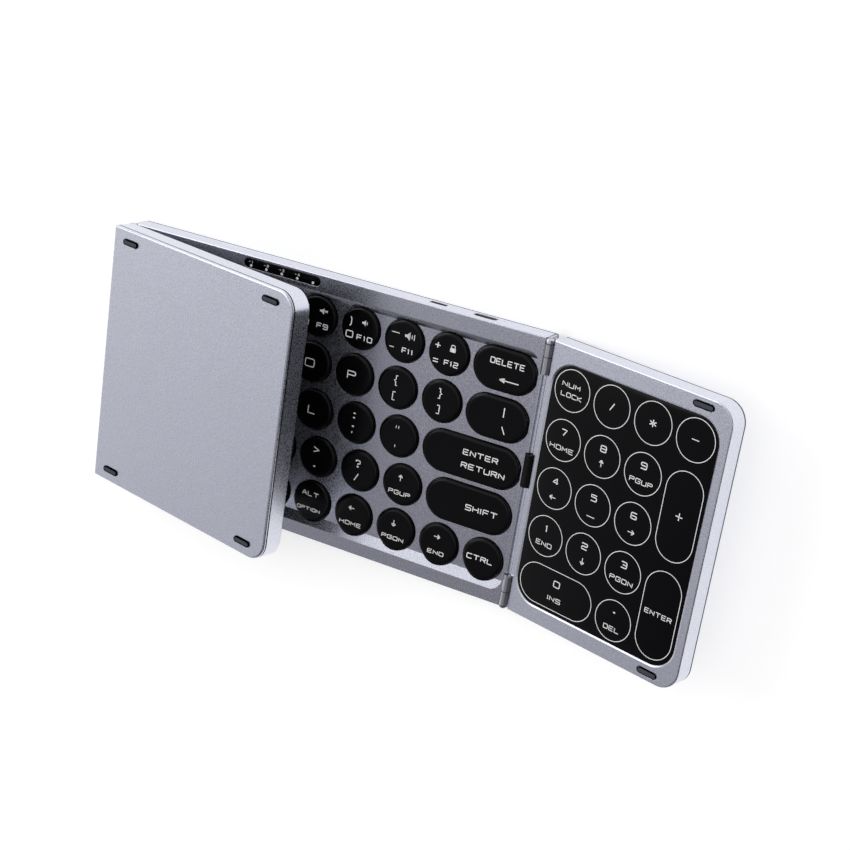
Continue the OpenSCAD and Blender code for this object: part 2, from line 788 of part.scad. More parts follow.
module flex_sleeves() {
    color(black) for (s = [-1, 1]) at_axis(s) {
        along_y(sleeve_y - sleeve_len / 2, sleeve_y + sleeve_len / 2) circle(knuckle_r);
        sleeve_feet(0);
    }
}

module left_flex_cable() { at_axis(-1) flex_cable(left_fold); }

module number_flex_cable() {
    board_under = axis_rise + glass_sink + glass_t + touch_board_t;
    at_axis(1) flex_cable(number_fold, cable_low + cable_t / 2 - board_under);
}

module left_top_case() {
    color(silver) in_left() difference() {
        union() {
            panel_shell(end_gap, left_w, corner_r, deck_under);
            at_feet(left_feet_x) boss();
            translate([0, 0, axis_rise]) leaf_blocks("inner");
        }
        key_recess(recess_end, left_w - recess_end * 2);
        for (p = left_places) translate([p[0], p[1], 0]) key_hole();
        hinge_cuts("inner");
        bumper_recesses(left_w);
    }
}

module left_back_cover() {
    color(silver) in_left() back_cover(end_gap, left_w, corner_r, left_feet_x);
}

module left_key_board() {
    color(green) in_left()
        translate([plate_inset[0] + 0.5, -half_d + plate_inset[1], -board_top - board_t])
            cube([left_w - 2 * plate_inset[0] - 1, panel_depth - plate_inset[1] - plate_inset[2],
                board_top + board_t - plate_top]);
}

module left_dome_sheet() {
    color(rubber) in_left() dome_sheet(plate_inset[0] + 1, left_w - plate_inset[0] - 1, left_places);
}

module left_feet() {
    color(rubber) in_left() {
        feet(left_feet_x);
        bumpers(left_w);
    }
}

module left_magnets() { color(steel) in_left() side_magnets(left_w, deck_under); }

module left_screws() {
    color(steel) in_left() {
        cover_screws(left_feet_x);
        translate([0, 0, axis_rise]) leaf_screws("inner");
    }
}

module left_hinge_leaves() { color("silver") in_left() inner_leaves(); }

module left_keys() {
    color(black) in_left() for (p = left_places) translate([p[0], p[1], 0]) key();
}

// Sloped lip around the touch glass, from the glass up to just over the rim
module glass_lip() {
    h = glass_sink + 0.1;
    w = lip_w * h / glass_sink;
    for (x = [glass_u[0] + glass_r, glass_u[1] - glass_r], y = [-1, 1])
        translate([x, y * (glass_y - glass_r), -glass_sink]) cylinder(r1 = glass_r, r2 = glass_r + w, h = h);
    along_x(glass_u[0] + glass_r, glass_u[1] - glass_r)
        polygon([[-glass_y, -glass_sink], [glass_y, -glass_sink],
            [glass_y + w, h - glass_sink], [-glass_y - w, h - glass_sink]]);
    along_y(-glass_y + glass_r, glass_y - glass_r)
        polygon([[glass_u[0], -glass_sink], [glass_u[1], -glass_sink],
            [glass_u[1] + w, h - glass_sink], [glass_u[0] - w, h - glass_sink]]);
}

// Frame of the number panel, with a ledge for the touch glass and a floor under its board
module number_frame() {
    color(silver) in_number() difference() {
        union() {
            panel_shell(end_gap, number_w, corner_r, number_deck_under);
            at_feet(number_feet_x) boss();
            translate([0, 0, axis_rise]) leaf_blocks("inner");
        }
        translate([0, 0, -glass_sink - glass_t]) linear_extrude(over)
            rounded(glass_u[0], glass_u[1], -glass_y, glass_y, glass_r, glass_r);
        glass_lip();
        translate([0, 0, -number_deck_top]) linear_extrude(over)
            rounded(glass_u[0] + ledge, glass_u[1] - ledge, -glass_y + ledge, glass_y - ledge,
                glass_r - ledge, glass_r - ledge);
        translate([cable_in - 1, sleeve_y - cable_w / 2 - 0.5, -over]) cube([2, cable_w + 1, over]);
        hinge_cuts("inner");
        bumper_recesses(number_w);
    }
}

module number_back_cover() {
    color(silver) in_number() back_cover(end_gap, number_w, corner_r, number_feet_x);
}

module touch_glass() {
    color(black) in_number() translate([0, 0, -glass_sink - glass_t]) linear_extrude(glass_t)
        rounded(glass_u[0] + glass_fit, glass_u[1] - glass_fit, -glass_y + glass_fit, glass_y - glass_fit,
            glass_r - glass_fit, glass_r - glass_fit);
}

module touch_board() {
    inset = ledge + 0.2;
    color(green) in_number() translate([0, 0, -glass_sink - glass_t - touch_board_t])
        linear_extrude(touch_board_t) rounded(glass_u[0] + inset, glass_u[1] - inset, -glass_y + inset,
            glass_y - inset, glass_r - inset, glass_r - inset);
}

module number_feet() {
    color(rubber) in_number() {
        feet(number_feet_x);
        bumpers(number_w);
    }
}

module number_magnets() { color(steel) in_number() side_magnets(number_w, number_deck_under); }

module number_screws() {
    color(steel) in_number() {
        cover_screws(number_feet_x);
        translate([0, 0, axis_rise]) leaf_screws("inner");
    }
}

module number_hinge_leaves() { color("silver") in_number() inner_leaves(); }

module covered_keys() {
    color(black) in_middle() for (k = COVERED_KEYS) translate([k[0], row_y(k[1]), 0]) key();
}

module round_key(k) { color(black) in_middle() translate([k[1], row_y(k[2]), 0]) key(); }

module wide_key(k) {
    color(black) in_middle() translate([(k[1] + k[2]) / 2, row_y(k[3]), 0]) key(k[2] - k[1]);
}

middle_top_case();
middle_back_cover();
middle_support_plate();
middle_dome_sheet();
main_circuit_board();
battery();
usb_c_socket();
power_switch_body();
power_switch_slider();
indicator_window();
middle_magnets();
middle_feet();
middle_screws();
middle_hinge_leaves();
hinge_pins();
flex_sleeves();
left_flex_cable();
number_flex_cable();
left_top_case();
left_back_cover();
left_key_board();
left_dome_sheet();
left_feet();
left_magnets();
left_screws();
left_hinge_leaves();
left_keys();
number_frame();
number_back_cover();
touch_glass();
touch_board();
number_feet();
number_magnets();
number_screws();
number_hinge_leaves();
covered_keys();
for (k = ROUND_KEYS) round_key(k);
for (k = WIDE_KEYS) wide_key(k);
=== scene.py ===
"""Looks of a folding keyboard: anodised panels, round keys with legends, a touch glass, hinges and cables.

Shapes are modelled in millimetres in the frame of the panel that carries them, and placed in metres.
"""
import json
import math

import bmesh
import bpy
from mathutils import Euler, Matrix, Vector
from mathutils.bvhtree import BVHTree


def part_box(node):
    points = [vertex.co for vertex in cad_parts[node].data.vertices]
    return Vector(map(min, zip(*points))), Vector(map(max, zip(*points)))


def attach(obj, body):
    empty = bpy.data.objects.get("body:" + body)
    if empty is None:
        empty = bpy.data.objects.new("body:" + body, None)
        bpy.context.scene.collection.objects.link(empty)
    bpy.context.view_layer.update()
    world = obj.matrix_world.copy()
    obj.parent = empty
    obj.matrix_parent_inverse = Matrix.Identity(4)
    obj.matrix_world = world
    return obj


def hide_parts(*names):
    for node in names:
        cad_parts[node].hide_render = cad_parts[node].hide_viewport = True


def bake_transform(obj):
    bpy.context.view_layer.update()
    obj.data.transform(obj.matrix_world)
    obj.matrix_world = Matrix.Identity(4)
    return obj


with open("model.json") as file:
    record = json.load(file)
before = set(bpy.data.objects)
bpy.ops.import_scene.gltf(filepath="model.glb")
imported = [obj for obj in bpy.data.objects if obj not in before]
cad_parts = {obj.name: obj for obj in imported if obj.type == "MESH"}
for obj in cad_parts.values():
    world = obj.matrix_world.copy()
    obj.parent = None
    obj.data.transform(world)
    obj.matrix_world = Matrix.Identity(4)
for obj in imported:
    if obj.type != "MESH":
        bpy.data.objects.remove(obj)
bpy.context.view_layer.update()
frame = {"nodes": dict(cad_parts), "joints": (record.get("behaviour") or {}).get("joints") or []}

# Sizes in millimetres, as in the part: panels
MM = 0.001
AXIS_RISE = 0.25
NUMBER_FOLD = 15.4
LEFT_FOLD = 165.7
PANEL_T = 8.4
HALF_DEPTH = 49.5
AXIS_TO_MIDDLE = 85
LEFT_WIDTH = 95
NUMBER_WIDTH = 72.8
# Keys
KEY_PITCH = 17.5
ROW_PITCH = 17.25
ROWS_FORWARD = 0.45
KEY_WIDTH = 15.2
KEY_SINK = 0.4
CAP_HEIGHT = 2.5
CAP_WALL = 0.8
CAP_EDGE = 0.85
CAP_TOP = 1.0
DISH_STEPS = [(0.6, 0.0), (1.0, -0.015), (1.4, -0.025), (1.8, -0.03)]
TAB = (1.45, 3.0, 0.4)
TAB_OUT = 0.65
STEM_R = 1.6
STEM_END = 2.7
STEM_INTO_CAP = 0.1
# Feet and bumpers, each with a ring of painted shade round it
FOOT = (7.7, 2.1)
FOOT_SINK = 0.3
FOOT_PROUD = 0.6
FOOT_SHADE_RIM = 0.3
SHADE_RIM_DROP = 0.06
FOOT_EDGE = 0.25
FOOT_Y = 44.7
MIDDLE_FOOT_X = 75
SIDE_FOOT_INSET = 9.9
FAR_FOOT_INSET = 10.9
BUMPER_INSET = 11.5
BUMPER_Y = 46.6
BUMPER_RISE = 0.35
BUMPER_EDGE = 0.15
# Touch glass
GLASS_SINK = 0.3
GLASS_T = 0.7
GLASS_U = (3.6, 69.2)
GLASS_Y = 43.25
GLASS_R = 8.3
GLASS_EDGE = 0.2
# Indicator window, its lamps and the signs beside them
WINDOW_AT = (-19.7, 46.6)
WINDOW = (32.0, 3.4)
WINDOW_T = 0.8
WINDOW_SINK = 0.05
WINDOW_EDGE = 0.1
LIGHTS = 5
LIGHT_AT = (-32.7, 45.75)
LIGHT_PITCH = 6.5
LIGHT_D = 1.0
LIGHT_RISE = 0.03
LIGHT_EDGE = 0.01
LIGHT_SIGNS = ("1", "2", "3", "A")
LIGHT_SIGN = (0.45, 47.1, 1.1, 1.3)
LIGHT_DASH = (-0.8, 47.1, 1.0, 0.8)
LIGHT_LINE = 0.28
# Flat cables
SLEEVE_Y = 2.3
CABLE_W = 8
CABLE_T = 0.12
CABLE_R = 1.65
CABLE_U = 0.42
CABLE_LOW = 5.61
CABLE_IN = 12
CABLE_RISE = 3.82
CABLE_BENDS = 3
BEND_TURN = 12
# Hinge barrels and pins
BARREL_END = 49.3
BARREL_LEN = 12.2
HEAD_LEN = {-1: 0.8, 1: 1.6}
PIN_R = 0.6
PIN_SHORT = 0.3
PIN_HEAD_R = 1.4
PIN_DOME = [(PIN_HEAD_R, 0.35), (1.25, 0.12), (0.9, 0.02), (0, 0)]
INNER_KNUCKLE = 6
WASHER_R = 1.54
WASHER_T = 0.22
# Charging port and power switch
PORT_X = 59
PORT_Z = 4.2
TONGUE_Y = 46.1
TONGUE = (6.75, 5.3, 0.76)
SMALL_EDGE = 0.12
CONTACTS = 12
CONTACT = (0.26, 3.0, 0.05)
CONTACT_PITCH = 0.5
CONTACT_OUT = 0.8
SWITCH_X = 39.8
SWITCH_Z = 4.4
KNOB = (2.64, 3.0, 1.44)
KNOB_END = 49.25
RIDGES = 4
RIDGE_PITCH = 0.6
RIDGE_R = 0.16
RIDGE_SHORT = 0.3
# Groove and seam round the panels' walls, with a dark strip of painted shade in the groove and a band of
# painted shade along it
GROOVE_Z = (-7.4, -7.1)
GROOVE_DEPTH = 0.3
SHADE_STRIP_SINK = 0.05
SEAM_SHADE_Z = -7.22
SEAM_SHADE_WIDTH = 0.6
END_GAP = 0.3
CORNER_R = 7.5
HINGE_CORNER_R = 0.8

# Steps round a curve, the angle up to which faces are smoothed, and how far a height may be off
PILL_STEPS = 42
SMALL_PILL_STEPS = 26
RING_STEPS = 62
CORNER_STEPS = 12
STEM_STEPS = 24
PIN_STEPS = 32
WASHER_STEPS = 40
RIDGE_STEPS = 12
SMOOTH_UP_TO = 35
LEVEL = 1e-4

# Printing: width of the strokes, their share in small signs, and the height below which a sign is small
STROKE = 0.43
FINE = 0.8
FINE_BELOW = 2.15
PRINT_T = 0.02
RING_LINE = 0.24
PRINT_SHIFT = (-0.65, -0.05)
PRINT_FROM = 5
DOT = [(-1, 0.9), (-0.6, 1.35), (0.6, 1.35), (1, 0.9)]
GRID = 8
LEAST_SIZE = 0.2
LETTER_GAP = 0.38
WORD_HEIGHT = 0.92
ROUNDING = 0.24

# Camera, in millimetres, metres and degrees
PHOTO_LENS = 69.013
SENSOR = 36
CAMERA_AT = (0.229819, 0.19314, 0.49812)
CAMERA_TURN = (-15.071, 26.870, 9.384)

# Brightness of the sky in reflections, from its dark side, at the right and front, to its bright side
SKY = [(0.001, 0.05), (0.3, 0.09), (0.457, 0.24), (0.64, 0.52), (0.87, 0.88), (0.999, 1.0)]
SKY_BLUE = 0.12
BRIGHT_SIDE = (-0.80, 0.55, -0.25)
FILL = (0.57, 0.57, 0.575)

# Lamps: name, size in metres, power in watts and place; and the floor
LAMPS = [("back softbox", 0.45, 0.7, (-0.62, 0.75, 0.5)), ("side softbox", 0.9, 4.0, (-1.16, 0.42, 1.02)),
         ("overhead softbox", 1.2, 2.2, (0.2, 0.2, 1.0))]
LAMP_TARGET = (0, 0, 0.01)
FLOOR_HALF = 2.0
FLOOR_GREY = 0.8
FLOOR_ROUGHNESS = 0.9
FLOOR_LIFT = 0.42

# Grain of the finishes, samples of the soft edges, which also set the painted edge light, and the tone of the
# painted shade along the groove
GRAIN_DETAIL = 3
GRAIN_DEPTH = 0.00003
DRIFT_SCALE = 35
DRIFT_DETAIL = 2
EDGE_SAMPLES = 4
SEAM_SHADE_TONE = (0.04, 0.04, 0.045)

# Letters and signs on a grid of 8 by 8: points of each stroke, with r where the corner is round.
# A stroke of one point is a dot.
GLYPHS = {
    "A": "00 38 58 80|13 73", "B": "00 08 78r 74r 04|04 84r 80r 00", "C": "87 88r 08r 00r 80r 81",
    "D": "00 08 88r 80r 00", "E": "88 08 00 80|04 74", "F": "88 08 00|04 74",
    "G": "86 88r 08r 00r 80r 84 44", "H": "08 00|88 80|04 84", "I": "48 40", "J": "88 80r 00r 03",
    "K": "08 00|88 04 80", "L": "08 00 80", "M": "00 08 43 88 80", "N": "00 08 80 88",
    "O": "48 88r 80r 00r 08r 48", "P": "00 08 88r 84r 04", "Q": "48 88r 80r 00r 08r 48|53 80",
    "R": "00 08 88r 84r 04|44 80", "S": "87 88r 08r 04r 84r 80r 00r 01", "T": "08 88|48 40",
    "U": "08 00r 80r 88", "V": "08 40 88", "W": "08 20 46 60 88", "X": "08 80|88 00",
    "Y": "08 44 88|44 40", "Z": "08 88 00 80",
    "0": "48 88r 80r 00r 08r 48", "1": "16 48 40", "2": "07 08r 88r 84r 04r 00 80",
    "3": "08 88r 80r 00|84 24", "4": "60 68 02 82", "5": "88 08 05 85r 80r 00",
    "6": "88 08r 00r 80r 84r 04", "7": "08 88 30", "8": "48 88r 80r 00r 08r 48|04 84",
    "9": "00 80r 88r 08r 04r 84",
    "(": "68 46 42 60", ")": "28 46 42 20", "[": "68 28 20 60", "]": "28 68 60 20",
    "{": "68 48 45 24 43 40 60", "}": "28 48 45 64 43 40 20", "|": "48 40", "\\": "08 80", "/": "88 00",
    "-": "04 84", "_": "00 80", "+": "04 84|40 48", "=": "02 82|06 86", "*": "40 48|06 82|02 86",
    "<": "88 04 80", ">": "08 84 00", "?": "06 08r 88r 84r 44r 42|40", ".": "44", ":": "48|40",
    ";": "48|42 20", "\"": "28 20|68 60", "'": "48 40", ",": "46 42", "!": "48 43|40",
    "@": "62 66 26 22 82 88r 08r 00r 70", "#": "20 28|60 68|02 82|06 86",
    "$": "87 88r 08r 04r 84r 80r 00r 01|49 4a", "%": "88 00|16|72", "^": "04 48 84",
    "&": "80 16 18r 58r 55 02 00r 50r 83", "~": "03 25 63 85",
    "up": "40 45|48 15 75 48|47 36 56 47", "down": "48 43|40 13 73 40|41 32 52 41",
    "left": "84 34|04 37 31 04|14 35 33 14", "right": "04 54|84 57 51 84|74 55 53 74",
    "long left": "84 24|04 26 22 04|14 25 23 14",
    "speaker": "03 05 25 48 40 23 03|04 34|36 32|66 62",
    "loud": "03 05 25 48 40 23 03|04 34|36 32|66 62|87 81",
    "mute": "03 05 25 48 40 23 03|04 34|36 32|56 83|53 86",
    "padlock": "04 84 80 00 04|12 72|11 71|13 73|14 18r 78r 74",
}
# Widths of the letters that aren't one cell wide, and the signs that are drawn in finer strokes
LETTER_WIDTHS = {"I": 0.15, "1": 0.5, "-": 0.6, "T": 1.2}
FINE_SIGNS = ("mute", "speaker", "loud", "padlock", "up", "down", "left", "right")

# Legends of the middle panel's keys in sight: sign or word, place from the key's middle, width and height
LEGENDS = {
    "key_f9": [("(", -3.6, 2.0, 2.2, 3.8), ("9", -3.9, -2.7, 3.0, 2.7), ("mute", 3.15, 2.6, 3.5, 2.4),
               ("F9", 3.15, -2.9, 4.8, 2.3)],
    "key_f10": [(")", -2.95, 2.0, 2.2, 3.8), ("0", -3.15, -2.7, 3.1, 2.7), ("speaker", 2.65, 2.6, 2.9, 2.4),
                ("F10", 2.95, -3.0, 6.4, 2.3)],
    "key_f11": [("-", -2.75, 2.6, 3.4, 1), ("-", -3.55, -2.8, 2.2, 1), ("loud", 2.85, 2.4, 4.0, 3.2),
                ("F11", 2.75, -3.0, 4.7, 2.3)],
    "key_f12": [("+", -3.65, 2.4, 2.4, 2.4), ("=", -3.75, -3.1, 2.4, 2.4), ("padlock", 2.15, 2.5, 2.3, 2.8),
                ("F12", 2.25, -3.0, 5.6, 2.3)],
    "key_delete": [("DELETE", 1.5, 2.7, 13.0, 2.5), ("long left", 3.1, -3.4, 7.6, 3.2)],
    "key_o": [("O", 0.05, -0.05, 4.1, 3.3)],
    "key_p": [("P", -0.1, -0.05, 3.6, 3.2)],
    "key_left_bracket": [("{", 0, 2.85, 3.0, 4.0), ("[", 0, -2.85, 2.4, 3.4)],
    "key_right_bracket": [("}", 0, 2.85, 3.0, 4.0), ("]", 0, -2.95, 2.4, 3.4)],
    "key_backslash": [("|", 3.2, 2.85, 1, 3.9), ("\\", 3.9, -3.45, 1.7, 3.0)],
    "key_l": [("L", 0, 0.1, 3.25, 3.2)],
    "key_semicolon": [(":", 0, 2.85, 1, 2.1), (";", 0, -2.5, 1.2, 3.0)],
    "key_quote": [("\"", 0, 3.6, 2.4, 1.4), ("'", 0, -3.5, 1, 1.3)],
    "key_enter": [("ENTER", 4.35, 2.3, 13.6, 2.4), ("RETURN", 6.0, -2.5, 16.9, 2.4)],
    "key_period": [(">", 0.1, 2.95, 2.7, 2.3), (".", 0, -3.45, 1, 1)],
    "key_slash": [("?", 0, 2.85, 2.1, 2.8), ("/", 0, -2.35, 1.8, 3.2)],
    "key_page_up": [("up", 0, 2.65, 2.6, 2.7), ("PGUP", 0.3, -3.0, 8.9, 2.0)],
    "key_right_shift": [("SHIFT", 6.2, 0, 12.6, 2.5)],
    "key_option": [("ALT", 0, 2.8, 7.2, 2.1), ("OPTION", -0.1, -3.1, 9.9, 1.7)],
    "key_home": [("left", 0, 2.7, 2.7, 2.6), ("HOME", 0.2, -3.2, 9.2, 1.9)],
    "key_page_down": [("down", 0, 2.4, 2.6, 2.8), ("PGDN", 0.3, -3.2, 9.1, 1.9)],
    "key_end": [("right", 0, 2.8, 2.7, 2.6), ("END", 0.3, -3.2, 6.7, 1.9)],
    "key_right_ctrl": [("CTRL", -0.2, 0, 10.2, 2.3)],
    "key_space": [],
}
# Columns of the rows that go on under the folded panel
COVERED_X = (-3.5, -3.5, -0.25, 3.9)
# Places and sizes of their signs: a sign over a number beside a function, two signs, a letter, a word
COVERED_SIGN = (-3.1, 2.4, 2.6, 2.7)
COVERED_NUMBER = (-3.1, -2.7, 2.6, 2.7)
COVERED_FUNCTION = (2.9, -2.9, 4.8, 2.3)
COVERED_UPPER = (0, 2.9, 2.5, 2.4)
COVERED_LOWER = (0, -3.0, 1, 2.0)
COVERED_LETTER = (0, 0, 3.6, 3.2)
COVERED_WORD = (2.1, 2.4, 10.4)
# Words on the keys under the folded panel and on that panel's keys, from left to right and back to front
COVERED_WORDS = ["% 5 F5", "^ 6 F6", "& 7 F7", "* 8 F8"], ["T", "Y", "U", "I"], ["G", "H", "J", "K"], \
    ["B", "N", "M", "< ,"]
LEFT_WORDS = ["ESC", "! 1 F1", "@ 2 F2", "# 3 F3", "$ 4 F4"], ["TAB", "Q", "W", "E", "R"], \
    ["CAPS", "A", "S", "D", "F"], ["SHIFT", "Z", "X", "C", "V"], ["CTRL", "FN", "START", "ALT", "CMD"]

# Rings on the touch glass: middle, length along x and along y; signs: as in LEGENDS, from the panel's frame
RING_COLUMNS = (11.9, 28.2, 44.6, 60.9)
RING_ROWS = (34.95, 17.5, 0.1, -17.4)
RING_D = 14.5
WIDE_RINGS = [(60.9, 8.8, 14.3, 31.0), (60.9, -26.0, 14.3, 31.1), (20.0, -34.85, 30.8, 14.5)]
LOW_RING = (44.6, -35.0)
GLASS_SIGNS = [
    ("NUM", 11.2, 36.5, 7.6, 2.0), ("LOCK", 11.85, 33.1, 8.9, 2.0), ("/", 28.35, 34.95, 1.9, 3.0),
    ("*", 44.6, 34.9, 2.9, 2.9), ("-", 60.8, 35.0, 3.2, 1),
    ("7", 11.8, 20.2, 2.6, 2.5), ("HOME", 11.8, 14.6, 10.1, 2.1), ("8", 28.2, 20.25, 2.6, 2.5),
    ("up", 28.35, 15.15, 2.6, 2.8), ("9", 44.5, 20.3, 2.6, 2.5), ("PGUP", 44.5, 14.65, 9.3, 2.1),
    ("4", 12.0, 2.8, 2.6, 2.5), ("left", 11.9, -3.1, 3.0, 2.6), ("5", 28.2, 2.8, 2.6, 2.5),
    ("-", 28.2, -3.9, 3.6, 1), ("6", 44.5, 2.8, 2.6, 2.5), ("right", 44.6, -3.0, 3.0, 2.6),
    ("1", 11.9, -14.7, 1.6, 2.7), ("END", 11.8, -20.35, 7.0, 2.1), ("2", 28.2, -14.7, 2.6, 2.5),
    ("down", 28.35, -20.1, 2.6, 2.9), ("3", 44.6, -14.7, 2.6, 2.5), ("PGDN", 44.6, -20.3, 9.5, 2.1),
    ("0", 20.1, -32.3, 2.9, 2.6), ("INS", 20.0, -38.0, 5.9, 2.1), (".", 44.5, -32.1, 1, 1),
    ("DEL", 44.5, -37.95, 6.6, 2.1), ("+", 60.8, 8.8, 3.0, 3.0), ("ENTER", 60.8, -25.9, 10.9, 2.1),
]

# Where the panels stand
joints = {j["name"]: Vector(j["pos_m"]) for j in frame["joints"] if "pos_m" in j}
number_axis = Matrix.Translation(joints["number_fold"])
left_axis = Matrix.Translation(joints["left_fold"])
to_mm = Matrix.Scale(MM, 4)
under_axis = Matrix.Translation((0, 0, -AXIS_RISE * MM)) @ to_mm
middle = Matrix.Translation((joints["number_fold"] + joints["left_fold"]) / 2) @ under_axis
number = number_axis @ Matrix.Rotation(math.radians(-NUMBER_FOLD), 4, "Y") @ under_axis
left = left_axis @ Matrix.Rotation(math.radians(LEFT_FOLD), 4, "Y") @ under_axis


def row_y(row):
    return (2 - row) * ROW_PITCH - ROWS_FORWARD


def at(x, y, z=0.0):
    return Matrix.Translation((x, y, z))


# Materials
def shader_of(name, colour, metallic, roughness, gloss=0.5):
    """A new material with its Principled shader's plain values."""
    material = bpy.data.materials.new(name)
    material.use_nodes = True
    shader = material.node_tree.nodes["Principled BSDF"]
    shader.inputs["Base Color"].default_value = (*colour, 1)
    shader.inputs["Metallic"].default_value = metallic
    shader.inputs["Roughness"].default_value = roughness
    shader.inputs["Specular IOR Level"].default_value = gloss
    return material, shader


def group_with(name, inputs, outputs):
    """A new node group with its sockets, its input and its output node."""
    group = bpy.data.node_groups.new(name, "ShaderNodeTree")
    for socket, kind, value in inputs:
        made = group.interface.new_socket(socket, in_out="INPUT", socket_type="NodeSocket" + kind)
        if value is not None:
            made.default_value = value
    for socket, kind in outputs:
        group.interface.new_socket(socket, in_out="OUTPUT", socket_type="NodeSocket" + kind)
    return group, group.nodes.new("NodeGroupInput"), group.nodes.new("NodeGroupOutput")


def grain_and_edge_light_group():
    """Fine speckle with a slow drift of tone, and painted light that makes the colour lighter at rounded
    edges: a colour, a roughness and a normal.
    """
    group, given, made = group_with(
        "fine grain",
        [("Colour", "Color", (0.5, 0.5, 0.5, 1)), ("Roughness", "Float", 0.4), ("Scale", "Float", 4000),
         ("Speckle", "Float", 0.1), ("Drift", "Float", 0.05), ("Depth", "Float", 0.1),
         ("Edge", "Float", 0.0001), ("Edge light", "Float", 0.0)],
        [("Colour", "Color"), ("Roughness", "Float"), ("Normal", "Vector")])
    nodes, links = group.nodes, group.links
    place = nodes.new("ShaderNodeTexCoord")
    fine = nodes.new("ShaderNodeTexNoise")
    slow = nodes.new("ShaderNodeTexNoise")
    fine.inputs["Detail"].default_value = GRAIN_DETAIL
    slow.inputs["Scale"].default_value = DRIFT_SCALE
    slow.inputs["Detail"].default_value = DRIFT_DETAIL
    links.new(place.outputs["Object"], fine.inputs["Vector"])
    links.new(place.outputs["Object"], slow.inputs["Vector"])
    links.new(given.outputs["Scale"], fine.inputs["Scale"])

    def math_node(operation, first, second):
        node = nodes.new("ShaderNodeMath")
        node.operation = operation
        for socket, value in zip(node.inputs, (first, second)):
            if isinstance(value, bpy.types.NodeSocket):
                links.new(value, socket)
            else:
                socket.default_value = value
        return node.outputs[0]

    speckle = math_node("MULTIPLY", math_node("SUBTRACT", fine.outputs["Fac"], 0.5), given.outputs["Speckle"])
    drift = math_node("MULTIPLY", math_node("SUBTRACT", slow.outputs["Fac"], 0.5), given.outputs["Drift"])
    soft = nodes.new("ShaderNodeBevel")
    soft.samples = EDGE_SAMPLES
    links.new(given.outputs["Edge"], soft.inputs["Radius"])
    flat = nodes.new("ShaderNodeNewGeometry")
    facing = nodes.new("ShaderNodeVectorMath")
    facing.operation = "DOT_PRODUCT"
    links.new(soft.outputs["Normal"], facing.inputs[0])
    links.new(flat.outputs["Normal"], facing.inputs[1])
    # Painted highlight: the more the bevelled normal turns from the face's own, the lighter the colour.
    turned = math_node("SUBTRACT", 1.0, facing.outputs["Value"])
    edge = math_node("MULTIPLY", turned, given.outputs["Edge light"])
    tone = math_node("ADD", math_node("ADD", speckle, drift), edge)
    light = nodes.new("ShaderNodeMix")
    light.data_type = "RGBA"
    light.blend_type = "MULTIPLY"
    light.inputs["Factor"].default_value = 1
    grey = nodes.new("ShaderNodeCombineColor")
    for socket in grey.inputs:
        links.new(math_node("ADD", 1.0, tone), socket)
    links.new(given.outputs["Colour"], light.inputs["A"])
    links.new(grey.outputs["Color"], light.inputs["B"])
    links.new(light.outputs["Result"], made.inputs["Colour"])
    links.new(math_node("ADD", given.outputs["Roughness"], speckle), made.inputs["Roughness"])
    bump = nodes.new("ShaderNodeBump")
    bump.inputs["Distance"].default_value = GRAIN_DEPTH
    links.new(given.outputs["Depth"], bump.inputs["Strength"])
    links.new(fine.outputs["Fac"], bump.inputs["Height"])
    links.new(soft.outputs["Normal"], bump.inputs["Normal"])
    links.new(bump.outputs["Normal"], made.inputs["Normal"])
    return group


GRAIN_AND_EDGE_LIGHT = grain_and_edge_light_group()


def grained(name, colour, metallic, roughness, gloss=0.5, **values):
    """A material whose tone, roughness and normal come from the group of grain and painted edge light."""
    material, shader = shader_of(name, colour, metallic, roughness, gloss)
    nodes, links = material.node_tree.nodes, material.node_tree.links
    grain = nodes.new("ShaderNodeGroup")
    grain.node_tree = GRAIN_AND_EDGE_LIGHT
    grain.inputs["Colour"].default_value = (*colour, 1)
    grain.inputs["Roughness"].default_value = roughness
    for socket, value in values.items():
        grain.inputs[socket.replace("_", " ")].default_value = value
    links.new(grain.outputs["Colour"], shader.inputs["Base Color"])
    links.new(grain.outputs["Roughness"], shader.inputs["Roughness"])
    links.new(grain.outputs["Normal"], shader.inputs["Normal"])
    return material


def seam_shade_group():
    """Mask of a band of painted shade round a panel's walls, along the groove at the seam with its back
    cover.
    """
    group, given, made = group_with(
        "seam line",
        [("Across", "Vector", (0, 0, 1)), ("Height", "Float", 0), ("Half width", "Float", 0.0003)],
        [("Mask", "Float")])
    nodes, links = group.nodes, group.links
    place = nodes.new("ShaderNodeTexCoord")
    along = nodes.new("ShaderNodeVectorMath")
    along.operation = "DOT_PRODUCT"
    links.new(place.outputs["Object"], along.inputs[0])
    links.new(given.outputs["Across"], along.inputs[1])
    near = nodes.new("ShaderNodeMath")
    near.operation = "COMPARE"
    links.new(along.outputs["Value"], near.inputs[0])
    links.new(given.outputs["Height"], near.inputs[1])
    links.new(given.outputs["Half width"], near.inputs[2])
    links.new(near.outputs[0], made.inputs["Mask"])
    return group


SEAM_SHADE = seam_shade_group()


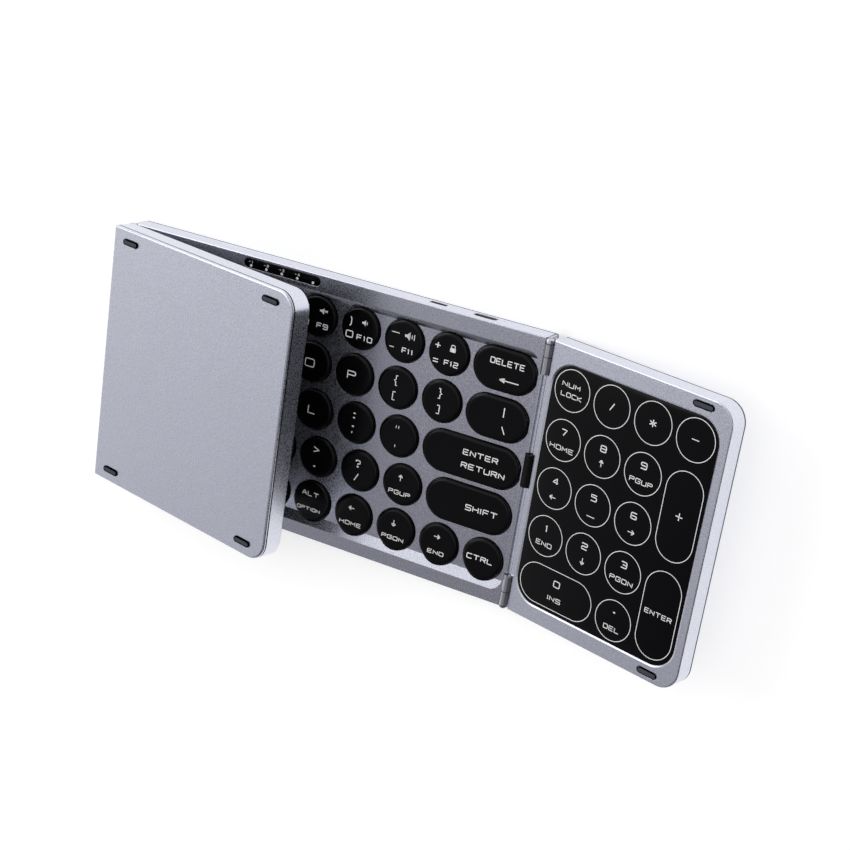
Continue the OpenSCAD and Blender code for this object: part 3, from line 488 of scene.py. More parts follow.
def anodised_case(name, panel):
    """Anodised metal, with a band of painted shade along the groove round the walls of a panel and a painted
    highlight on its rounded edges.
    """
    # Painted highlight: the colour is made lighter at rounded edges.
    material = grained(name, (0.70, 0.712, 0.80), 1.0, 0.29, Scale=2100, Speckle=0.45, Drift=0.04, Depth=0.8,
                       Edge=0.0002, Edge_light=0.15)
    nodes, links = material.node_tree.nodes, material.node_tree.links
    shader = nodes["Principled BSDF"]
    seam = nodes.new("ShaderNodeGroup")
    seam.node_tree = SEAM_SHADE
    across = panel.to_3x3().col[2].normalized()
    seam.inputs["Across"].default_value = across
    seam.inputs["Height"].default_value = across.dot(panel @ Vector((0, 0, SEAM_SHADE_Z)))
    seam.inputs["Half width"].default_value = SEAM_SHADE_WIDTH / 2 * MM
    # Painted shade: inside the band the colour turns to the dark seam tone.
    tone = nodes.new("ShaderNodeMix")
    tone.data_type = "RGBA"
    links.new(seam.outputs["Mask"], tone.inputs["Factor"])
    links.new(shader.inputs["Base Color"].links[0].from_socket, tone.inputs["A"])
    tone.inputs["B"].default_value = (*SEAM_SHADE_TONE, 1)
    links.new(tone.outputs["Result"], shader.inputs["Base Color"])
    return material


middle_metal = anodised_case("anodised_case", middle)
left_metal = anodised_case("anodised_left", left)
number_metal = anodised_case("anodised_number", number)
key_plastic = grained("key_plastic", (0.0014, 0.0014, 0.0018), 0, 0.2, 0.24, Scale=6000, Speckle=0.1,
                      Depth=0.2, Edge=0.0001)
glass_black = grained("touch_glass", (0.0017, 0.0017, 0.0022), 0, 0.1, 0.14, Scale=400, Speckle=0.02,
                      Depth=0.0, Edge=0.0001)
window_black = grained("window_plastic", (0.002, 0.002, 0.0025), 0, 0.15, 0.2, Scale=900, Speckle=0.02,
                       Depth=0.02)
rubber = grained("foot_rubber", (0.062, 0.062, 0.084), 0, 0.75, 0.2, Scale=3500, Speckle=0.5, Depth=0.6)
dome_rubber = grained("dome_rubber", (0.35, 0.35, 0.36), 0, 0.6, Scale=2500, Speckle=0.1, Depth=0.3)
satin_metal = grained("hinge_metal", (0.58, 0.58, 0.63), 1, 0.33, Scale=2600, Speckle=0.25, Depth=0.4,
                      Edge=0.00008)
screw_steel = grained("screw_steel", (0.45, 0.45, 0.47), 1, 0.3, Scale=3000, Speckle=0.1, Depth=0.2)
plate_steel = grained("plate_steel", (0.55, 0.56, 0.58), 1, 0.35, Scale=2000, Speckle=0.15, Depth=0.2)
magnet_metal = grained("magnet_metal", (0.65, 0.65, 0.66), 1, 0.25, Scale=1500, Speckle=0.1, Depth=0.1)
black_plastic = grained("black_plastic", (0.004, 0.004, 0.0045), 0, 0.5, 0.2, Scale=3500, Speckle=0.15,
                        Depth=0.3)
circuit_board = grained("circuit_board", (0.01, 0.08, 0.04), 0, 0.35, Scale=900, Speckle=0.4, Depth=0.2)
battery_wrap = grained("battery_wrap", (0.55, 0.55, 0.52), 0.6, 0.35, Scale=300, Speckle=0.3, Depth=0.3)
flex_film = grained("flex_film", (0.28, 0.11, 0.02), 0.1, 0.35, Scale=900, Speckle=0.2, Depth=0.05)
print_white = grained("white_print", (0.98, 0.98, 0.98), 0, 0.5, 0.3, Scale=3000, Speckle=0.05, Depth=0.05)
# Near-black stand-in for shade in gaps: painted shade round the feet and in the grooves round the walls.
dark_gap = grained("dark_gap", (0.001, 0.001, 0.001), 0, 0.9, 0, Scale=3000, Speckle=0.05, Depth=0.05)
contact_gold = grained("contact_gold", (0.75, 0.5, 0.15), 1, 0.25, Scale=2000, Speckle=0.1, Depth=0.1)

FINISHES = {
    middle_metal: ["middle_top_case", "middle_back_cover"],
    left_metal: ["left_top_case", "left_back_cover"],
    number_metal: ["number_frame", "number_back_cover"],
    plate_steel: ["middle_support_plate", "usb_c_socket"],
    dome_rubber: ["middle_dome_sheet", "left_dome_sheet"],
    circuit_board: ["main_circuit_board", "left_key_board", "touch_board"],
    battery_wrap: ["battery"],
    black_plastic: ["power_switch_body", "power_switch_slider", "flex_sleeves"],
    magnet_metal: ["middle_magnets", "left_magnets", "number_magnets"],
    screw_steel: ["middle_screws", "left_screws", "number_screws"],
    satin_metal: ["middle_hinge_leaves", "left_hinge_leaves", "number_hinge_leaves", "hinge_pins"],
    flex_film: ["left_flex_cable", "number_flex_cable"],
    rubber: ["middle_feet", "left_feet", "number_feet"],
    key_plastic: ["left_keys", "covered_keys", *LEGENDS],
    glass_black: ["touch_glass"],
    window_black: ["indicator_window"],
}
for finish, names in FINISHES.items():
    for name in names:
        for slot in frame["nodes"][name].material_slots:
            slot.material = finish


# Making pieces
def add_piece(name, mesh, material, body, replaced=()):
    """Puts a finished mesh in the scene as a piece that moves with a body."""
    mesh.shade_smooth()
    mesh.set_sharp_from_angle(angle=math.radians(SMOOTH_UP_TO))
    mesh.materials.append(material)
    piece = bpy.data.objects.new(name, mesh)
    bpy.context.scene.collection.objects.link(piece)
    if replaced:
        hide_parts(*replaced)
    if body:
        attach(piece, body)
    return piece


def mesh_of(name, bm, place):
    bmesh.ops.transform(bm, matrix=place, verts=bm.verts)
    bmesh.ops.recalc_face_normals(bm, faces=bm.faces)
    mesh = bpy.data.meshes.new(name)
    bm.to_mesh(mesh)
    bm.free()
    return mesh


def pill_face(bm, length, width, place=Matrix(), steps=PILL_STEPS):
    """A flat face in the shape of a pill, longer along x or along y; a circle where both are equal."""
    made = bmesh.ops.create_circle(bm, cap_ends=True, segments=steps, radius=min(length, width) / 2)
    straight = Vector((max(length - width, 0) / 2, max(width - length, 0) / 2, 0))
    turn = Matrix.Rotation(math.radians(90), 4, "Z") if width > length else Matrix()
    bmesh.ops.transform(bm, matrix=turn, verts=made["verts"])
    for vert in made["verts"]:
        side = 1 if vert.co.dot(straight) > 0 else -1
        vert.co += straight * side
    face = made["verts"][0].link_faces[0]
    if face.normal.z < 0:
        face.normal_flip()
    bmesh.ops.transform(bm, matrix=place, verts=made["verts"])
    return face


def rounded_face(bm, size, radii, place=Matrix()):
    """A flat face in the shape of a rectangle with round corners, of one radius at each end along x."""
    made = bmesh.ops.create_grid(bm, x_segments=1, y_segments=1, size=0.5)
    bmesh.ops.scale(bm, vec=(size[0], size[1], 1), verts=made["verts"])
    ends = [[v for v in made["verts"] if v.co.x * side > 0] for side in (-1, 1)]
    bmesh.ops.transform(bm, matrix=place, verts=made["verts"])
    for corners, radius in zip(ends, radii):
        bmesh.ops.bevel(bm, geom=corners, offset=radius, segments=CORNER_STEPS, profile=0.5,
                        affect="VERTICES", material=-1, offset_type="OFFSET", clamp_overlap=False)
    return max(bm.faces, key=lambda f: f.calc_area())


def cut_to_ring(bm, face, width):
    """Leaves of a flat face only a band along its edge."""
    bmesh.ops.inset_region(bm, faces=[face], thickness=width, use_even_offset=True, use_boundary=True)
    bm.faces.remove(face)


def raise_all(bm, height):
    """Closed thin block over all the faces of a flat mesh."""
    made = bmesh.ops.extrude_face_region(bm, geom=list(bm.faces))["geom"]
    bmesh.ops.translate(bm, vec=(0, 0, height), verts=[g for g in made if isinstance(g, bmesh.types.BMVert)])


def extrude_up(bm, face, height):
    """Closed block over a flat face; the lower and the upper face come back."""
    made = bmesh.ops.extrude_face_region(bm, geom=[face])["geom"]
    top = next(g for g in made if isinstance(g, bmesh.types.BMFace))
    bmesh.ops.translate(bm, vec=(0, 0, height), verts=top.verts)
    return face, top


def inset(bm, face, width, rise=0.0):
    """Steps a face inwards by a width, and up by a rise."""
    if width:
        bmesh.ops.inset_region(bm, faces=[face], thickness=width, use_even_offset=True)
        bmesh.ops.translate(bm, vec=(0, 0, rise), verts=face.verts)
        return face
    top = bmesh.ops.extrude_discrete_faces(bm, faces=[face])["faces"][0]
    bmesh.ops.translate(bm, vec=(0, 0, rise), verts=top.verts)
    return top


def round_edges(bm, face, offset, segments=3):
    """Rounds the edges around a face."""
    bmesh.ops.bevel(bm, geom=list(face.edges), offset=offset, segments=segments, profile=0.5, affect="EDGES",
                    material=-1)


def top_face(bm, z):
    """The largest face whose corners all stand at the height z."""
    level = [f for f in bm.faces if all(abs(v.co.z - z) < LEVEL for v in f.verts)]
    return max(level, key=lambda f: f.calc_area())


def soft_pill(bm, length, width, low, high, place, edge):
    """A rubber or plastic pill with a rounded upper edge."""
    part = bmesh.new()
    bottom, top = extrude_up(part, pill_face(part, length, width, steps=SMALL_PILL_STEPS), high - low)
    round_edges(part, top, edge)
    bmesh.ops.transform(part, matrix=place @ at(0, 0, low), verts=part.verts)
    join(bm, part)


def join(bm, part):
    """Adds a finished part to a mesh in the making."""
    mesh = bpy.data.meshes.new("part")
    part.to_mesh(mesh)
    part.free()
    bm.from_mesh(mesh)
    bpy.data.meshes.remove(mesh)


# Keys
def cap(length):
    """A key cap around its own middle, with a dished top, a hollow underside, a stem and two tabs."""
    bm = bmesh.new()
    base = -KEY_SINK - CAP_HEIGHT
    bottom, top = extrude_up(bm, pill_face(bm, length, KEY_WIDTH, at(0, 0, base)), CAP_HEIGHT)
    round_edges(bm, top, CAP_EDGE)
    dish = top_face(bm, -KEY_SINK)
    for width, rise in DISH_STEPS:
        inset(bm, dish, width, rise)
    inset(bm, bottom, CAP_WALL)
    inset(bm, bottom, 0, CAP_HEIGHT - CAP_TOP)
    stem_top = -KEY_SINK - CAP_TOP + STEM_INTO_CAP
    stem = bmesh.ops.create_cone(bm, cap_ends=True, segments=STEM_STEPS, radius1=STEM_R, radius2=STEM_R,
                                 depth=STEM_END + stem_top)["verts"]
    bmesh.ops.translate(bm, vec=(0, 0, (stem_top - STEM_END) / 2), verts=stem)
    for side in (-1, 1):
        tab = bmesh.ops.create_cube(bm, size=1)["verts"]
        reach = length / 2 + TAB_OUT - TAB[0] / 2
        bmesh.ops.transform(bm, matrix=at(side * reach, 0, base + TAB[2] / 2) @ Matrix.Diagonal((*TAB, 1)),
                            verts=tab)
    return bm


def glyph_strokes(sign, x, y, width, height):
    """The strokes of one sign as lists of points, with round corners, within an outer width and height."""
    strokes = []
    width, height = (max(size - STROKE, LEAST_SIZE) for size in (width, height))
    for line in GLYPHS[sign].split("|"):
        corners = [(Vector([int(place, 16) / GRID - 0.5 for place in p[:2]]), p.endswith("r"))
                   for p in line.split()]
        corners = [(Vector((x + c.x * width, y + c.y * height)), r) for c, r in corners]
        points = []
        for i, (corner, is_round) in enumerate(corners):
            if not is_round:
                points.append(corner)
                continue
            before, after = corners[i - 1][0] - corner, corners[i + 1][0] - corner
            reach = min(ROUNDING * height, before.length / 2, after.length / 2)
            start, end = corner + before.normalized() * reach, corner + after.normalized() * reach
            for t in (0, 0.25, 0.5, 0.75, 1):
                points.append(start * (1 - t) ** 2 + corner * (2 * t * (1 - t)) + end * t ** 2)
        strokes.append(points)
    return strokes


def sign_strokes(sign, x, y, width, height):
    """The strokes of a sign, or of a word whose letters fill the width."""
    if sign in GLYPHS:
        return glyph_strokes(sign, x, y, width, height)
    height *= WORD_HEIGHT
    shares = [LETTER_WIDTHS.get(letter, 1) for letter in sign]
    cell = (width - STROKE) / (sum(shares) + LETTER_GAP * (len(sign) - 1))
    strokes, start = [], x - (width - STROKE) / 2
    for letter, share in zip(sign, shares):
        strokes += glyph_strokes(letter, start + cell * share / 2, y, cell * share + STROKE, height)
        start += cell * (share + LETTER_GAP)
    return strokes


def print_mesh(name, signs, ground, place, line=STROKE):
    """Printed signs as thin flat strokes, laid on the ground's surface under them."""
    curve = bpy.data.curves.new(name, "CURVE")
    curve.dimensions = "3D"
    curve.bevel_depth = line / 2
    curve.bevel_resolution = 1
    curve.use_fill_caps = True
    for sign in signs:
        fine = FINE if sign[4] < FINE_BELOW or sign[0] in FINE_SIGNS else 1
        for points in sign_strokes(*sign):
            if len(points) == 1:
                points = [points[0] + Vector((along * line, 0)) for along, size in DOT]
                sizes = [size for along, size in DOT]
            else:
                points = subdivided(points)
                sizes = [fine] * len(points)
            spline = curve.splines.new("POLY")
            spline.points.add(len(points) - 1)
            for made, point, size in zip(spline.points, points, sizes):
                made.co = (*point, 0, 1)
                made.radius = size
    holder = bpy.data.objects.new(name, curve)
    mesh = bpy.data.meshes.new_from_object(holder)
    bpy.data.objects.remove(holder)
    for vert in mesh.vertices:
        hit = ground.ray_cast(Vector((vert.co.x, vert.co.y, PRINT_FROM)), Vector((0, 0, -1)))[0]
        vert.co.z = (hit.z if hit else -KEY_SINK) + PRINT_T / 2 + math.copysign(PRINT_T / 2, vert.co.z)
    mesh.transform(place)
    return mesh


def level_ground(height):
    """A level surface to print on."""
    flat = bmesh.new()
    bmesh.ops.create_grid(flat, x_segments=1, y_segments=1, size=AXIS_TO_MIDDLE)
    bmesh.ops.translate(flat, vec=(0, 0, height), verts=flat.verts)
    ground = BVHTree.FromBMesh(flat)
    flat.free()
    return ground


def subdivided(points, longest=1.0):
    """The points with more between them, so that no step is longer than the given length."""
    out = [points[0]]
    for a, b in zip(points, points[1:]):
        parts = max(1, math.ceil((b - a).length / longest))
        out += [a.lerp(b, k / parts) for k in range(1, parts + 1)]
    return out


def make_keys():
    """Caps and legends of the keys in sight, each on its own body."""
    for name, signs in LEGENDS.items():
        low, high = (middle.inverted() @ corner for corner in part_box(name))
        length = high.x - low.x - 2 * TAB_OUT
        place = middle @ at((low.x + high.x) / 2, (low.y + high.y) / 2)
        bm = cap(length)
        ground = BVHTree.FromBMesh(bm)
        add_piece(name + "_cap", mesh_of(name, bm, place), key_plastic, name, [name])
        if signs:
            signs = [(sign, x + PRINT_SHIFT[0], y + PRINT_SHIFT[1], *size) for sign, x, y, *size in signs]
            add_piece(name + "_print", print_mesh(name + "_print", signs, ground, place), print_white, name)


def word_signs(words):
    """The signs of a key under cover: one, two, or a sign over a number with a function beside them."""
    parts = words.split()
    if len(parts) == 3:
        x, y, width, height = COVERED_NUMBER
        return [(parts[0], *COVERED_SIGN), (parts[1], x, y, width * LETTER_WIDTHS.get(parts[1], 1), height),
                (parts[2], *COVERED_FUNCTION)]
    if len(parts) == 2:
        return [(parts[0], *COVERED_UPPER), (parts[1], *COVERED_LOWER)]
    if len(words) == 1:
        return [(words, *COVERED_LETTER)]
    height, letter, most = COVERED_WORD
    return [(words, 0, 0, min(letter * len(words), most), height)]


def make_key_group(name, body, frame_matrix, places):
    """Caps and legends of a whole group of round keys: places are the middle of each key and its words."""
    caps = bmesh.new()
    prints = bmesh.new()
    for x, y, words in places:
        part = cap(KEY_WIDTH)
        ground = BVHTree.FromBMesh(part)
        bmesh.ops.translate(part, vec=(x, y, 0), verts=part.verts)
        join(caps, part)
        signs = print_mesh("signs", word_signs(words), ground, at(x, y))
        prints.from_mesh(signs)
        bpy.data.meshes.remove(signs)
    add_piece(name + "_caps", mesh_of(name, caps, frame_matrix), key_plastic, body, [name])
    add_piece(name + "_print", mesh_of(name + "_print", prints, frame_matrix), print_white, body)


def make_glass():
    """Touch glass with a softly rounded edge, and its printed rings and signs."""
    bm = bmesh.new()
    size = (GLASS_U[1] - GLASS_U[0], 2 * GLASS_Y)
    middle_u = (GLASS_U[0] + GLASS_U[1]) / 2
    face = rounded_face(bm, size, (GLASS_R, GLASS_R), at(middle_u, 0, -GLASS_SINK - GLASS_T))
    bottom, top = extrude_up(bm, face, GLASS_T)
    round_edges(bm, top, GLASS_EDGE)
    add_piece("touch_glass_pane", mesh_of("pane", bm, number), glass_black, "number",
              ["touch_glass"])
    rings = [(u, y, RING_D, RING_D) for u in RING_COLUMNS[:3] for y in RING_ROWS] + WIDE_RINGS
    rings += [(RING_COLUMNS[3], RING_ROWS[0], RING_D, RING_D), (*LOW_RING, RING_D, RING_D)]
    bm = bmesh.new()
    for u, y, length, width in rings:
        part = bmesh.new()
        cut_to_ring(part, pill_face(part, length, width, steps=RING_STEPS), RING_LINE)
        raise_all(part, PRINT_T)
        bmesh.ops.translate(part, vec=(u, y, -GLASS_SINK), verts=part.verts)
        join(bm, part)
    add_piece("touch_glass_rings", mesh_of("rings", bm, number), print_white, "number")
    mesh = print_mesh("glass_signs", GLASS_SIGNS, level_ground(-GLASS_SINK), number)
    add_piece("touch_glass_signs", mesh, print_white, "number")


def make_feet(name, body, frame_matrix, xs, bumper_x=None):
    """Rubber feet under a panel and the bumpers on its inner face, each ringed by a dark band of painted
    shade.
    """
    pads = bmesh.new()
    painted_rim_shades = bmesh.new()
    turned = Matrix.Rotation(math.pi, 4, "X")
    places = [(at(x, y * FOOT_Y, -PANEL_T) @ turned, FOOT_PROUD, FOOT_EDGE) for x in xs for y in (-1, 1)]
    if bumper_x is not None:
        places += [(at(bumper_x, y * BUMPER_Y), BUMPER_RISE, BUMPER_EDGE) for y in (-1, 1)]
    for place, proud, edge in places:
        soft_pill(pads, FOOT[0] - 2 * FOOT_SHADE_RIM, FOOT[1] - 2 * FOOT_SHADE_RIM, -FOOT_SINK, proud, place, edge)
        # A dark ring just below the pad's top, painted shade round its edge.
        rim = bmesh.new()
        cut_to_ring(rim, pill_face(rim, *FOOT, at(0, 0, -FOOT_SINK)), FOOT_SHADE_RIM)
        raise_all(rim, FOOT_SINK + proud - SHADE_RIM_DROP)
        bmesh.ops.transform(rim, matrix=place, verts=rim.verts)
        join(painted_rim_shades, rim)
    add_piece(name + "_pads", mesh_of(name, pads, frame_matrix), rubber, body, [name])
    add_piece(name + "_rims", mesh_of(name + "_rims", painted_rim_shades, frame_matrix), dark_gap, body)


def make_pins():
    """Hinge pins with domed heads at the outer ends of the barrels."""
    bm = bmesh.new()
    for axis in (left_axis, number_axis):
        for side in (-1, 1):
            head_start = BARREL_END - HEAD_LEN[side]
            start = BARREL_END - BARREL_LEN + PIN_SHORT
            profile = [(0, start), (PIN_R, start), (PIN_R, head_start), (PIN_HEAD_R, head_start)]
            profile += [(r, BARREL_END - drop) for r, drop in PIN_DOME]
            part = bmesh.new()
            line = [part.verts.new((r, 0, y)) for r, y in profile]
            edges = [part.edges.new(pair) for pair in zip(line, line[1:])]
            bmesh.ops.spin(part, geom=line + edges, cent=(0, 0, 0), axis=(0, 0, 1), angle=2 * math.pi,
                           steps=PIN_STEPS, use_merge=True)
            bmesh.ops.remove_doubles(part, verts=part.verts, dist=1e-5)
            lay = axis @ to_mm @ Matrix.Rotation(math.radians(-90 * side), 4, "X")
            bmesh.ops.transform(part, matrix=lay, verts=part.verts)
            join(bm, part)
    add_piece("hinge_pins_turned", mesh_of("pins", bm, Matrix()), satin_metal, "middle",
              ["hinge_pins"])


def make_window():
    """Dark window in the back rim with five lamps and their small signs."""
    bm = bmesh.new()
    soft_pill(bm, *WINDOW, -WINDOW_T, -WINDOW_SINK, at(*WINDOW_AT), WINDOW_EDGE)
    add_piece("indicator_window_pane", mesh_of("window", bm, middle), window_black, "middle",
              ["indicator_window"])
    bm = bmesh.new()
    x, y = LIGHT_AT
    for i in range(LIGHTS):
        soft_pill(bm, LIGHT_D, LIGHT_D, -WINDOW_SINK, LIGHT_RISE - WINDOW_SINK, at(x + i * LIGHT_PITCH, y),
                  LIGHT_EDGE)
    add_piece("indicator_lamps", mesh_of("lamps", bm, middle), print_white, "middle")
    signs = []
    for i, word in enumerate(LIGHT_SIGNS):
        for sign, (beside, *rest) in ((word, LIGHT_SIGN), ("-", LIGHT_DASH)):
            signs.append((sign, x + i * LIGHT_PITCH + beside, *rest))
    mesh = print_mesh("window_signs", signs, level_ground(-WINDOW_SINK), middle, LIGHT_LINE)
    add_piece("indicator_signs", mesh, print_white, "middle")


def make_groove_shade_strip(name, body, frame_matrix, ends, radii):
    """Dark strip of painted shade at the bottom of the groove between a panel's walls and its back cover."""
    bm = bmesh.new()
    size = (ends[1] - ends[0] - 2 * SHADE_STRIP_SINK, 2 * (HALF_DEPTH - SHADE_STRIP_SINK))
    place = at((ends[0] + ends[1]) / 2, 0, GROOVE_Z[0])
    cut_to_ring(bm, rounded_face(bm, size, [r - SHADE_STRIP_SINK for r in radii], place), GROOVE_DEPTH)
    raise_all(bm, GROOVE_Z[1] - GROOVE_Z[0])
    add_piece(name, mesh_of(name, bm, frame_matrix), dark_gap, body)


def make_washers():
    """Thin dark washers in the joints of the hinge barrels."""
    bm = bmesh.new()
    for axis in (left_axis, number_axis):
        for side in (-1, 1):
            for y in (BARREL_END - HEAD_LEN[side], BARREL_END - BARREL_LEN + INNER_KNUCKLE):
                part = bmesh.new()
                bmesh.ops.create_cone(part, cap_ends=True, segments=WASHER_STEPS, radius1=WASHER_R,
                                      radius2=WASHER_R, depth=WASHER_T)
                lay = axis @ to_mm @ at(0, side * y, 0) @ Matrix.Rotation(math.radians(90), 4, "X")
                bmesh.ops.transform(part, matrix=lay, verts=part.verts)
                join(bm, part)
    add_piece("hinge_washers", mesh_of("washers", bm, Matrix()), black_plastic, "middle")


def make_cable(name, axis, fold, side, rise):
    """Flat cable from the middle panel's board round under a hinge axis to the side panel's board."""
    tilt = math.degrees(math.atan(CABLE_U / CABLE_R))
    middle_part = [(-CABLE_IN, -CABLE_LOW), (-CABLE_U, -CABLE_LOW), (-CABLE_U, -CABLE_LOW / 2)]
    side_part = [(CABLE_U, -CABLE_LOW / 2), (CABLE_U, -CABLE_LOW), (CABLE_IN, -CABLE_LOW)]
    if rise:
        side_part.append((CABLE_IN, -CABLE_LOW + rise))
    bends = []
    steps = max(CABLE_BENDS, round(fold / BEND_TURN))
    for i in range(steps + 1):
        angle = math.radians(-90 - tilt + i * (fold + 2 * tilt) / steps)
        bends.append((CABLE_R * math.cos(angle), CABLE_R * math.sin(angle)))
    turn = math.radians(fold)
    side_part = [(x * math.cos(turn) - z * math.sin(turn), x * math.sin(turn) + z * math.cos(turn))
                 for x, z in side_part]
    bm = bmesh.new()
    line = [bm.verts.new((side * x, SLEEVE_Y - CABLE_W / 2, z)) for x, z in middle_part + bends + side_part]
    edges = [bm.edges.new(pair) for pair in zip(line, line[1:])]
    made = bmesh.ops.extrude_edge_only(bm, edges=edges)["geom"]
    bmesh.ops.translate(bm, vec=(0, CABLE_W, 0), verts=[g for g in made if isinstance(g, bmesh.types.BMVert)])
    bmesh.ops.recalc_face_normals(bm, faces=bm.faces)
    bmesh.ops.solidify(bm, geom=list(bm.faces), thickness=CABLE_T)
    return add_piece(name + "_film", mesh_of(name, bm, axis @ to_mm), flex_film, None, [name])


def make_port():
    """Tongue of the charging socket with its contacts, and the ridged knob of the power switch."""
    bm = bmesh.new()
    tongue = bmesh.ops.create_cube(bm, size=1)["verts"]
    lay = at(PORT_X, TONGUE_Y, -PORT_Z)
    bmesh.ops.transform(bm, matrix=lay @ Matrix.Diagonal((*TONGUE, 1)), verts=tongue)
    bmesh.ops.bevel(bm, geom=list(bm.edges), offset=SMALL_EDGE, segments=2, profile=0.5, affect="EDGES",
                    material=-1)
    add_piece("port_tongue", mesh_of("tongue", bm, middle), black_plastic, "middle")
    bm = bmesh.new()
    for i in range(CONTACTS):
        for side in (-1, 1):
            pad = bmesh.ops.create_cube(bm, size=1)["verts"]
            place = lay @ at((i - (CONTACTS - 1) / 2) * CONTACT_PITCH, CONTACT_OUT, side * TONGUE[2] / 2)
            bmesh.ops.transform(bm, matrix=place @ Matrix.Diagonal((*CONTACT, 1)), verts=pad)
    add_piece("port_contacts", mesh_of("contacts", bm, middle), contact_gold, "middle")
    bm = bmesh.new()
    base = bmesh.ops.create_cube(bm, size=1)["verts"]
    lay = at(SWITCH_X, KNOB_END - KNOB[1] / 2, -SWITCH_Z)
    bmesh.ops.transform(bm, matrix=lay @ Matrix.Diagonal((*KNOB, 1)), verts=base)
    bmesh.ops.bevel(bm, geom=list(bm.edges), offset=SMALL_EDGE, segments=2, profile=0.5, affect="EDGES",
                    material=-1)
    for i in range(RIDGES):
        ridge = bmesh.ops.create_cone(bm, cap_ends=True, segments=RIDGE_STEPS, radius1=RIDGE_R,
                                      radius2=RIDGE_R, depth=KNOB[2] - RIDGE_SHORT)["verts"]
        x = SWITCH_X + (i - (RIDGES - 1) / 2) * RIDGE_PITCH
        bmesh.ops.translate(bm, vec=(x, KNOB_END, -SWITCH_Z), verts=ridge)
    add_piece("switch_knob", mesh_of("knob", bm, middle), black_plastic, "power_switch")


def make_camera():
    """Camera at the photograph's place."""
    data = bpy.data.cameras.new("camera")
    data.lens = PHOTO_LENS
    data.sensor_width = SENSOR
    camera = bpy.data.objects.new("camera", data)
    camera.location = CAMERA_AT
    camera.rotation_euler = Euler([math.radians(a) for a in CAMERA_TURN])
    bpy.context.scene.collection.objects.link(camera)
    bpy.context.scene.camera = camera


def make_lamp(name, size, power, place):
    """A soft square lamp that looks at the object."""
    data = bpy.data.lights.new(name, "AREA")
    data.size = size
    data.energy = power
    lamp = bpy.data.objects.new(name, data)
    lamp.location = place
    lamp.rotation_euler = (Vector(LAMP_TARGET) - Vector(place)).to_track_quat("-Z", "Y").to_euler()
    bpy.context.scene.collection.objects.link(lamp)


def make_studio():
    """Soft lamps, and a world that is white to the camera, shaded in reflections and grey as light."""
    world = bpy.data.worlds.new("studio")
    bpy.context.scene.world = world
    world.use_nodes = True
    nodes, links = world.node_tree.nodes, world.node_tree.links
    nodes.clear()
    out = nodes.new("ShaderNodeOutputWorld")
    path = nodes.new("ShaderNodeLightPath")
    seen = nodes.new("ShaderNodeMath")
    seen.operation = "MAXIMUM"
    clear = nodes.new("ShaderNodeMath")
    clear.operation = "MAXIMUM"
    links.new(path.outputs["Is Glossy Ray"], clear.inputs[0])
    links.new(path.outputs["Is Transmission Ray"], clear.inputs[1])
    links.new(path.outputs["Is Camera Ray"], seen.inputs[0])
    links.new(clear.outputs[0], seen.inputs[1])
    white = nodes.new("ShaderNodeBackground")
    fill = nodes.new("ShaderNodeBackground")
    fill.inputs["Color"].default_value = (*FILL, 1)
    mix = nodes.new("ShaderNodeMixShader")
    # Reflections see a sky that is bright at the left and back and dark at the right and front
    direction = nodes.new("ShaderNodeTexCoord")
    side = nodes.new("ShaderNodeVectorMath")
    side.operation = "DOT_PRODUCT"
    side.inputs[1].default_value = BRIGHT_SIDE
    share = nodes.new("ShaderNodeMath")
    share.operation = "MULTIPLY_ADD"
    share.inputs[1].default_value = 0.5
    share.inputs[2].default_value = 0.5
    ramp = nodes.new("ShaderNodeValToRGB")
    for place, grey in SKY:
        stop = ramp.color_ramp.elements.new(place)
        stop.color = (grey, grey, grey * (1 + SKY_BLUE * (1 - grey)), 1)
    ramp.color_ramp.elements.remove(ramp.color_ramp.elements[-1])
    ramp.color_ramp.elements.remove(ramp.color_ramp.elements[0])
    pick = nodes.new("ShaderNodeMix")
    pick.data_type = "RGBA"
    pick.inputs["B"].default_value = (1, 1, 1, 1)
    links.new(direction.outputs["Generated"], side.inputs[0])
    links.new(side.outputs["Value"], share.inputs[0])
    links.new(share.outputs[0], ramp.inputs["Fac"])
    links.new(path.outputs["Is Camera Ray"], pick.inputs["Factor"])
    links.new(ramp.outputs["Color"], pick.inputs["A"])
    links.new(pick.outputs["Result"], white.inputs["Color"])
    links.new(seen.outputs[0], mix.inputs["Fac"])
    links.new(fill.outputs[0], mix.inputs[1])
    links.new(white.outputs[0], mix.inputs[2])
    links.new(mix.outputs[0], out.inputs["Surface"])

    for lamp in LAMPS:
        make_lamp(*lamp)


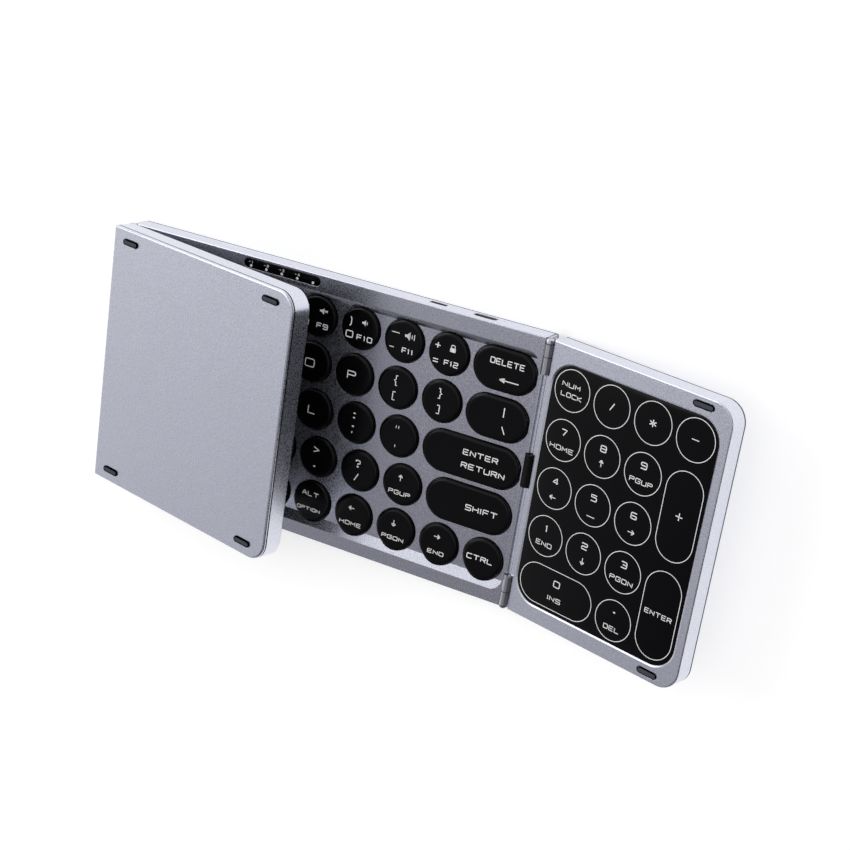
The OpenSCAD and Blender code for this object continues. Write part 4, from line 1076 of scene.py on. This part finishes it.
def make_floor():
    """Pale floor, white to the camera and in reflections except in the object's shadow."""
    bm = bmesh.new()
    bmesh.ops.create_grid(bm, x_segments=1, y_segments=1, size=FLOOR_HALF)
    mesh = bpy.data.meshes.new("floor")
    bm.to_mesh(mesh)
    bm.free()
    floor = bpy.data.objects.new("floor", mesh)
    bpy.context.scene.collection.objects.link(floor)
    material, shader = shader_of("pale floor", (FLOOR_GREY,) * 3, 0, FLOOR_ROUGHNESS, 0)
    shader.inputs["Emission Color"].default_value = (1, 1, 1, 1)
    nodes, links = material.node_tree.nodes, material.node_tree.links
    path = nodes.new("ShaderNodeLightPath")
    lift = nodes.new("ShaderNodeMath")
    lift.operation = "MULTIPLY"
    lift.inputs[1].default_value = FLOOR_LIFT
    both = nodes.new("ShaderNodeMath")
    both.operation = "MAXIMUM"
    links.new(path.outputs["Is Camera Ray"], both.inputs[0])
    links.new(path.outputs["Is Glossy Ray"], both.inputs[1])
    links.new(both.outputs[0], lift.inputs[0])
    links.new(lift.outputs[0], shader.inputs["Emission Strength"])
    mesh.materials.append(material)


bpy.context.scene.view_settings.view_transform = "Standard"
make_camera()
make_studio()
make_floor()
make_keys()
make_key_group("covered_keys", "covered_keys", middle,
               [(x0 - (4 - i) * KEY_PITCH, row_y(row), words)
                for row, (x0, line) in enumerate(zip(COVERED_X, COVERED_WORDS))
                for i, words in enumerate(line)])
make_key_group("left_keys", "left_keys", left,
               [(-12 - (4 - i) * KEY_PITCH, row_y(row), words)
                for row, line in enumerate(LEFT_WORDS) for i, words in enumerate(line)])
make_glass()
make_feet("middle_feet", "middle", middle, (-MIDDLE_FOOT_X, MIDDLE_FOOT_X))
make_feet("left_feet", "left", left, (-SIDE_FOOT_INSET, -LEFT_WIDTH + FAR_FOOT_INSET),
          -LEFT_WIDTH + BUMPER_INSET)
make_feet("number_feet", "number", number, (SIDE_FOOT_INSET, NUMBER_WIDTH - FAR_FOOT_INSET),
          NUMBER_WIDTH - BUMPER_INSET)
make_pins()
make_washers()
make_window()
# Painted shade: a dark strip in the groove round each panel's walls.
make_groove_shade_strip("middle_groove", "middle", middle, (-AXIS_TO_MIDDLE + END_GAP, AXIS_TO_MIDDLE - END_GAP),
                  (HINGE_CORNER_R, HINGE_CORNER_R))
make_groove_shade_strip("left_groove", "left", left, (-LEFT_WIDTH, -END_GAP), (CORNER_R, HINGE_CORNER_R))
make_groove_shade_strip("number_groove", "number", number, (END_GAP, NUMBER_WIDTH), (HINGE_CORNER_R, CORNER_R))
number_cable = make_cable("number_flex_cable", number_axis, NUMBER_FOLD, 1, CABLE_RISE)
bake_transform(number_cable)
left_cable = make_cable("left_flex_cable", left_axis, LEFT_FOLD, -1, 0)
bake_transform(left_cable)
make_port()
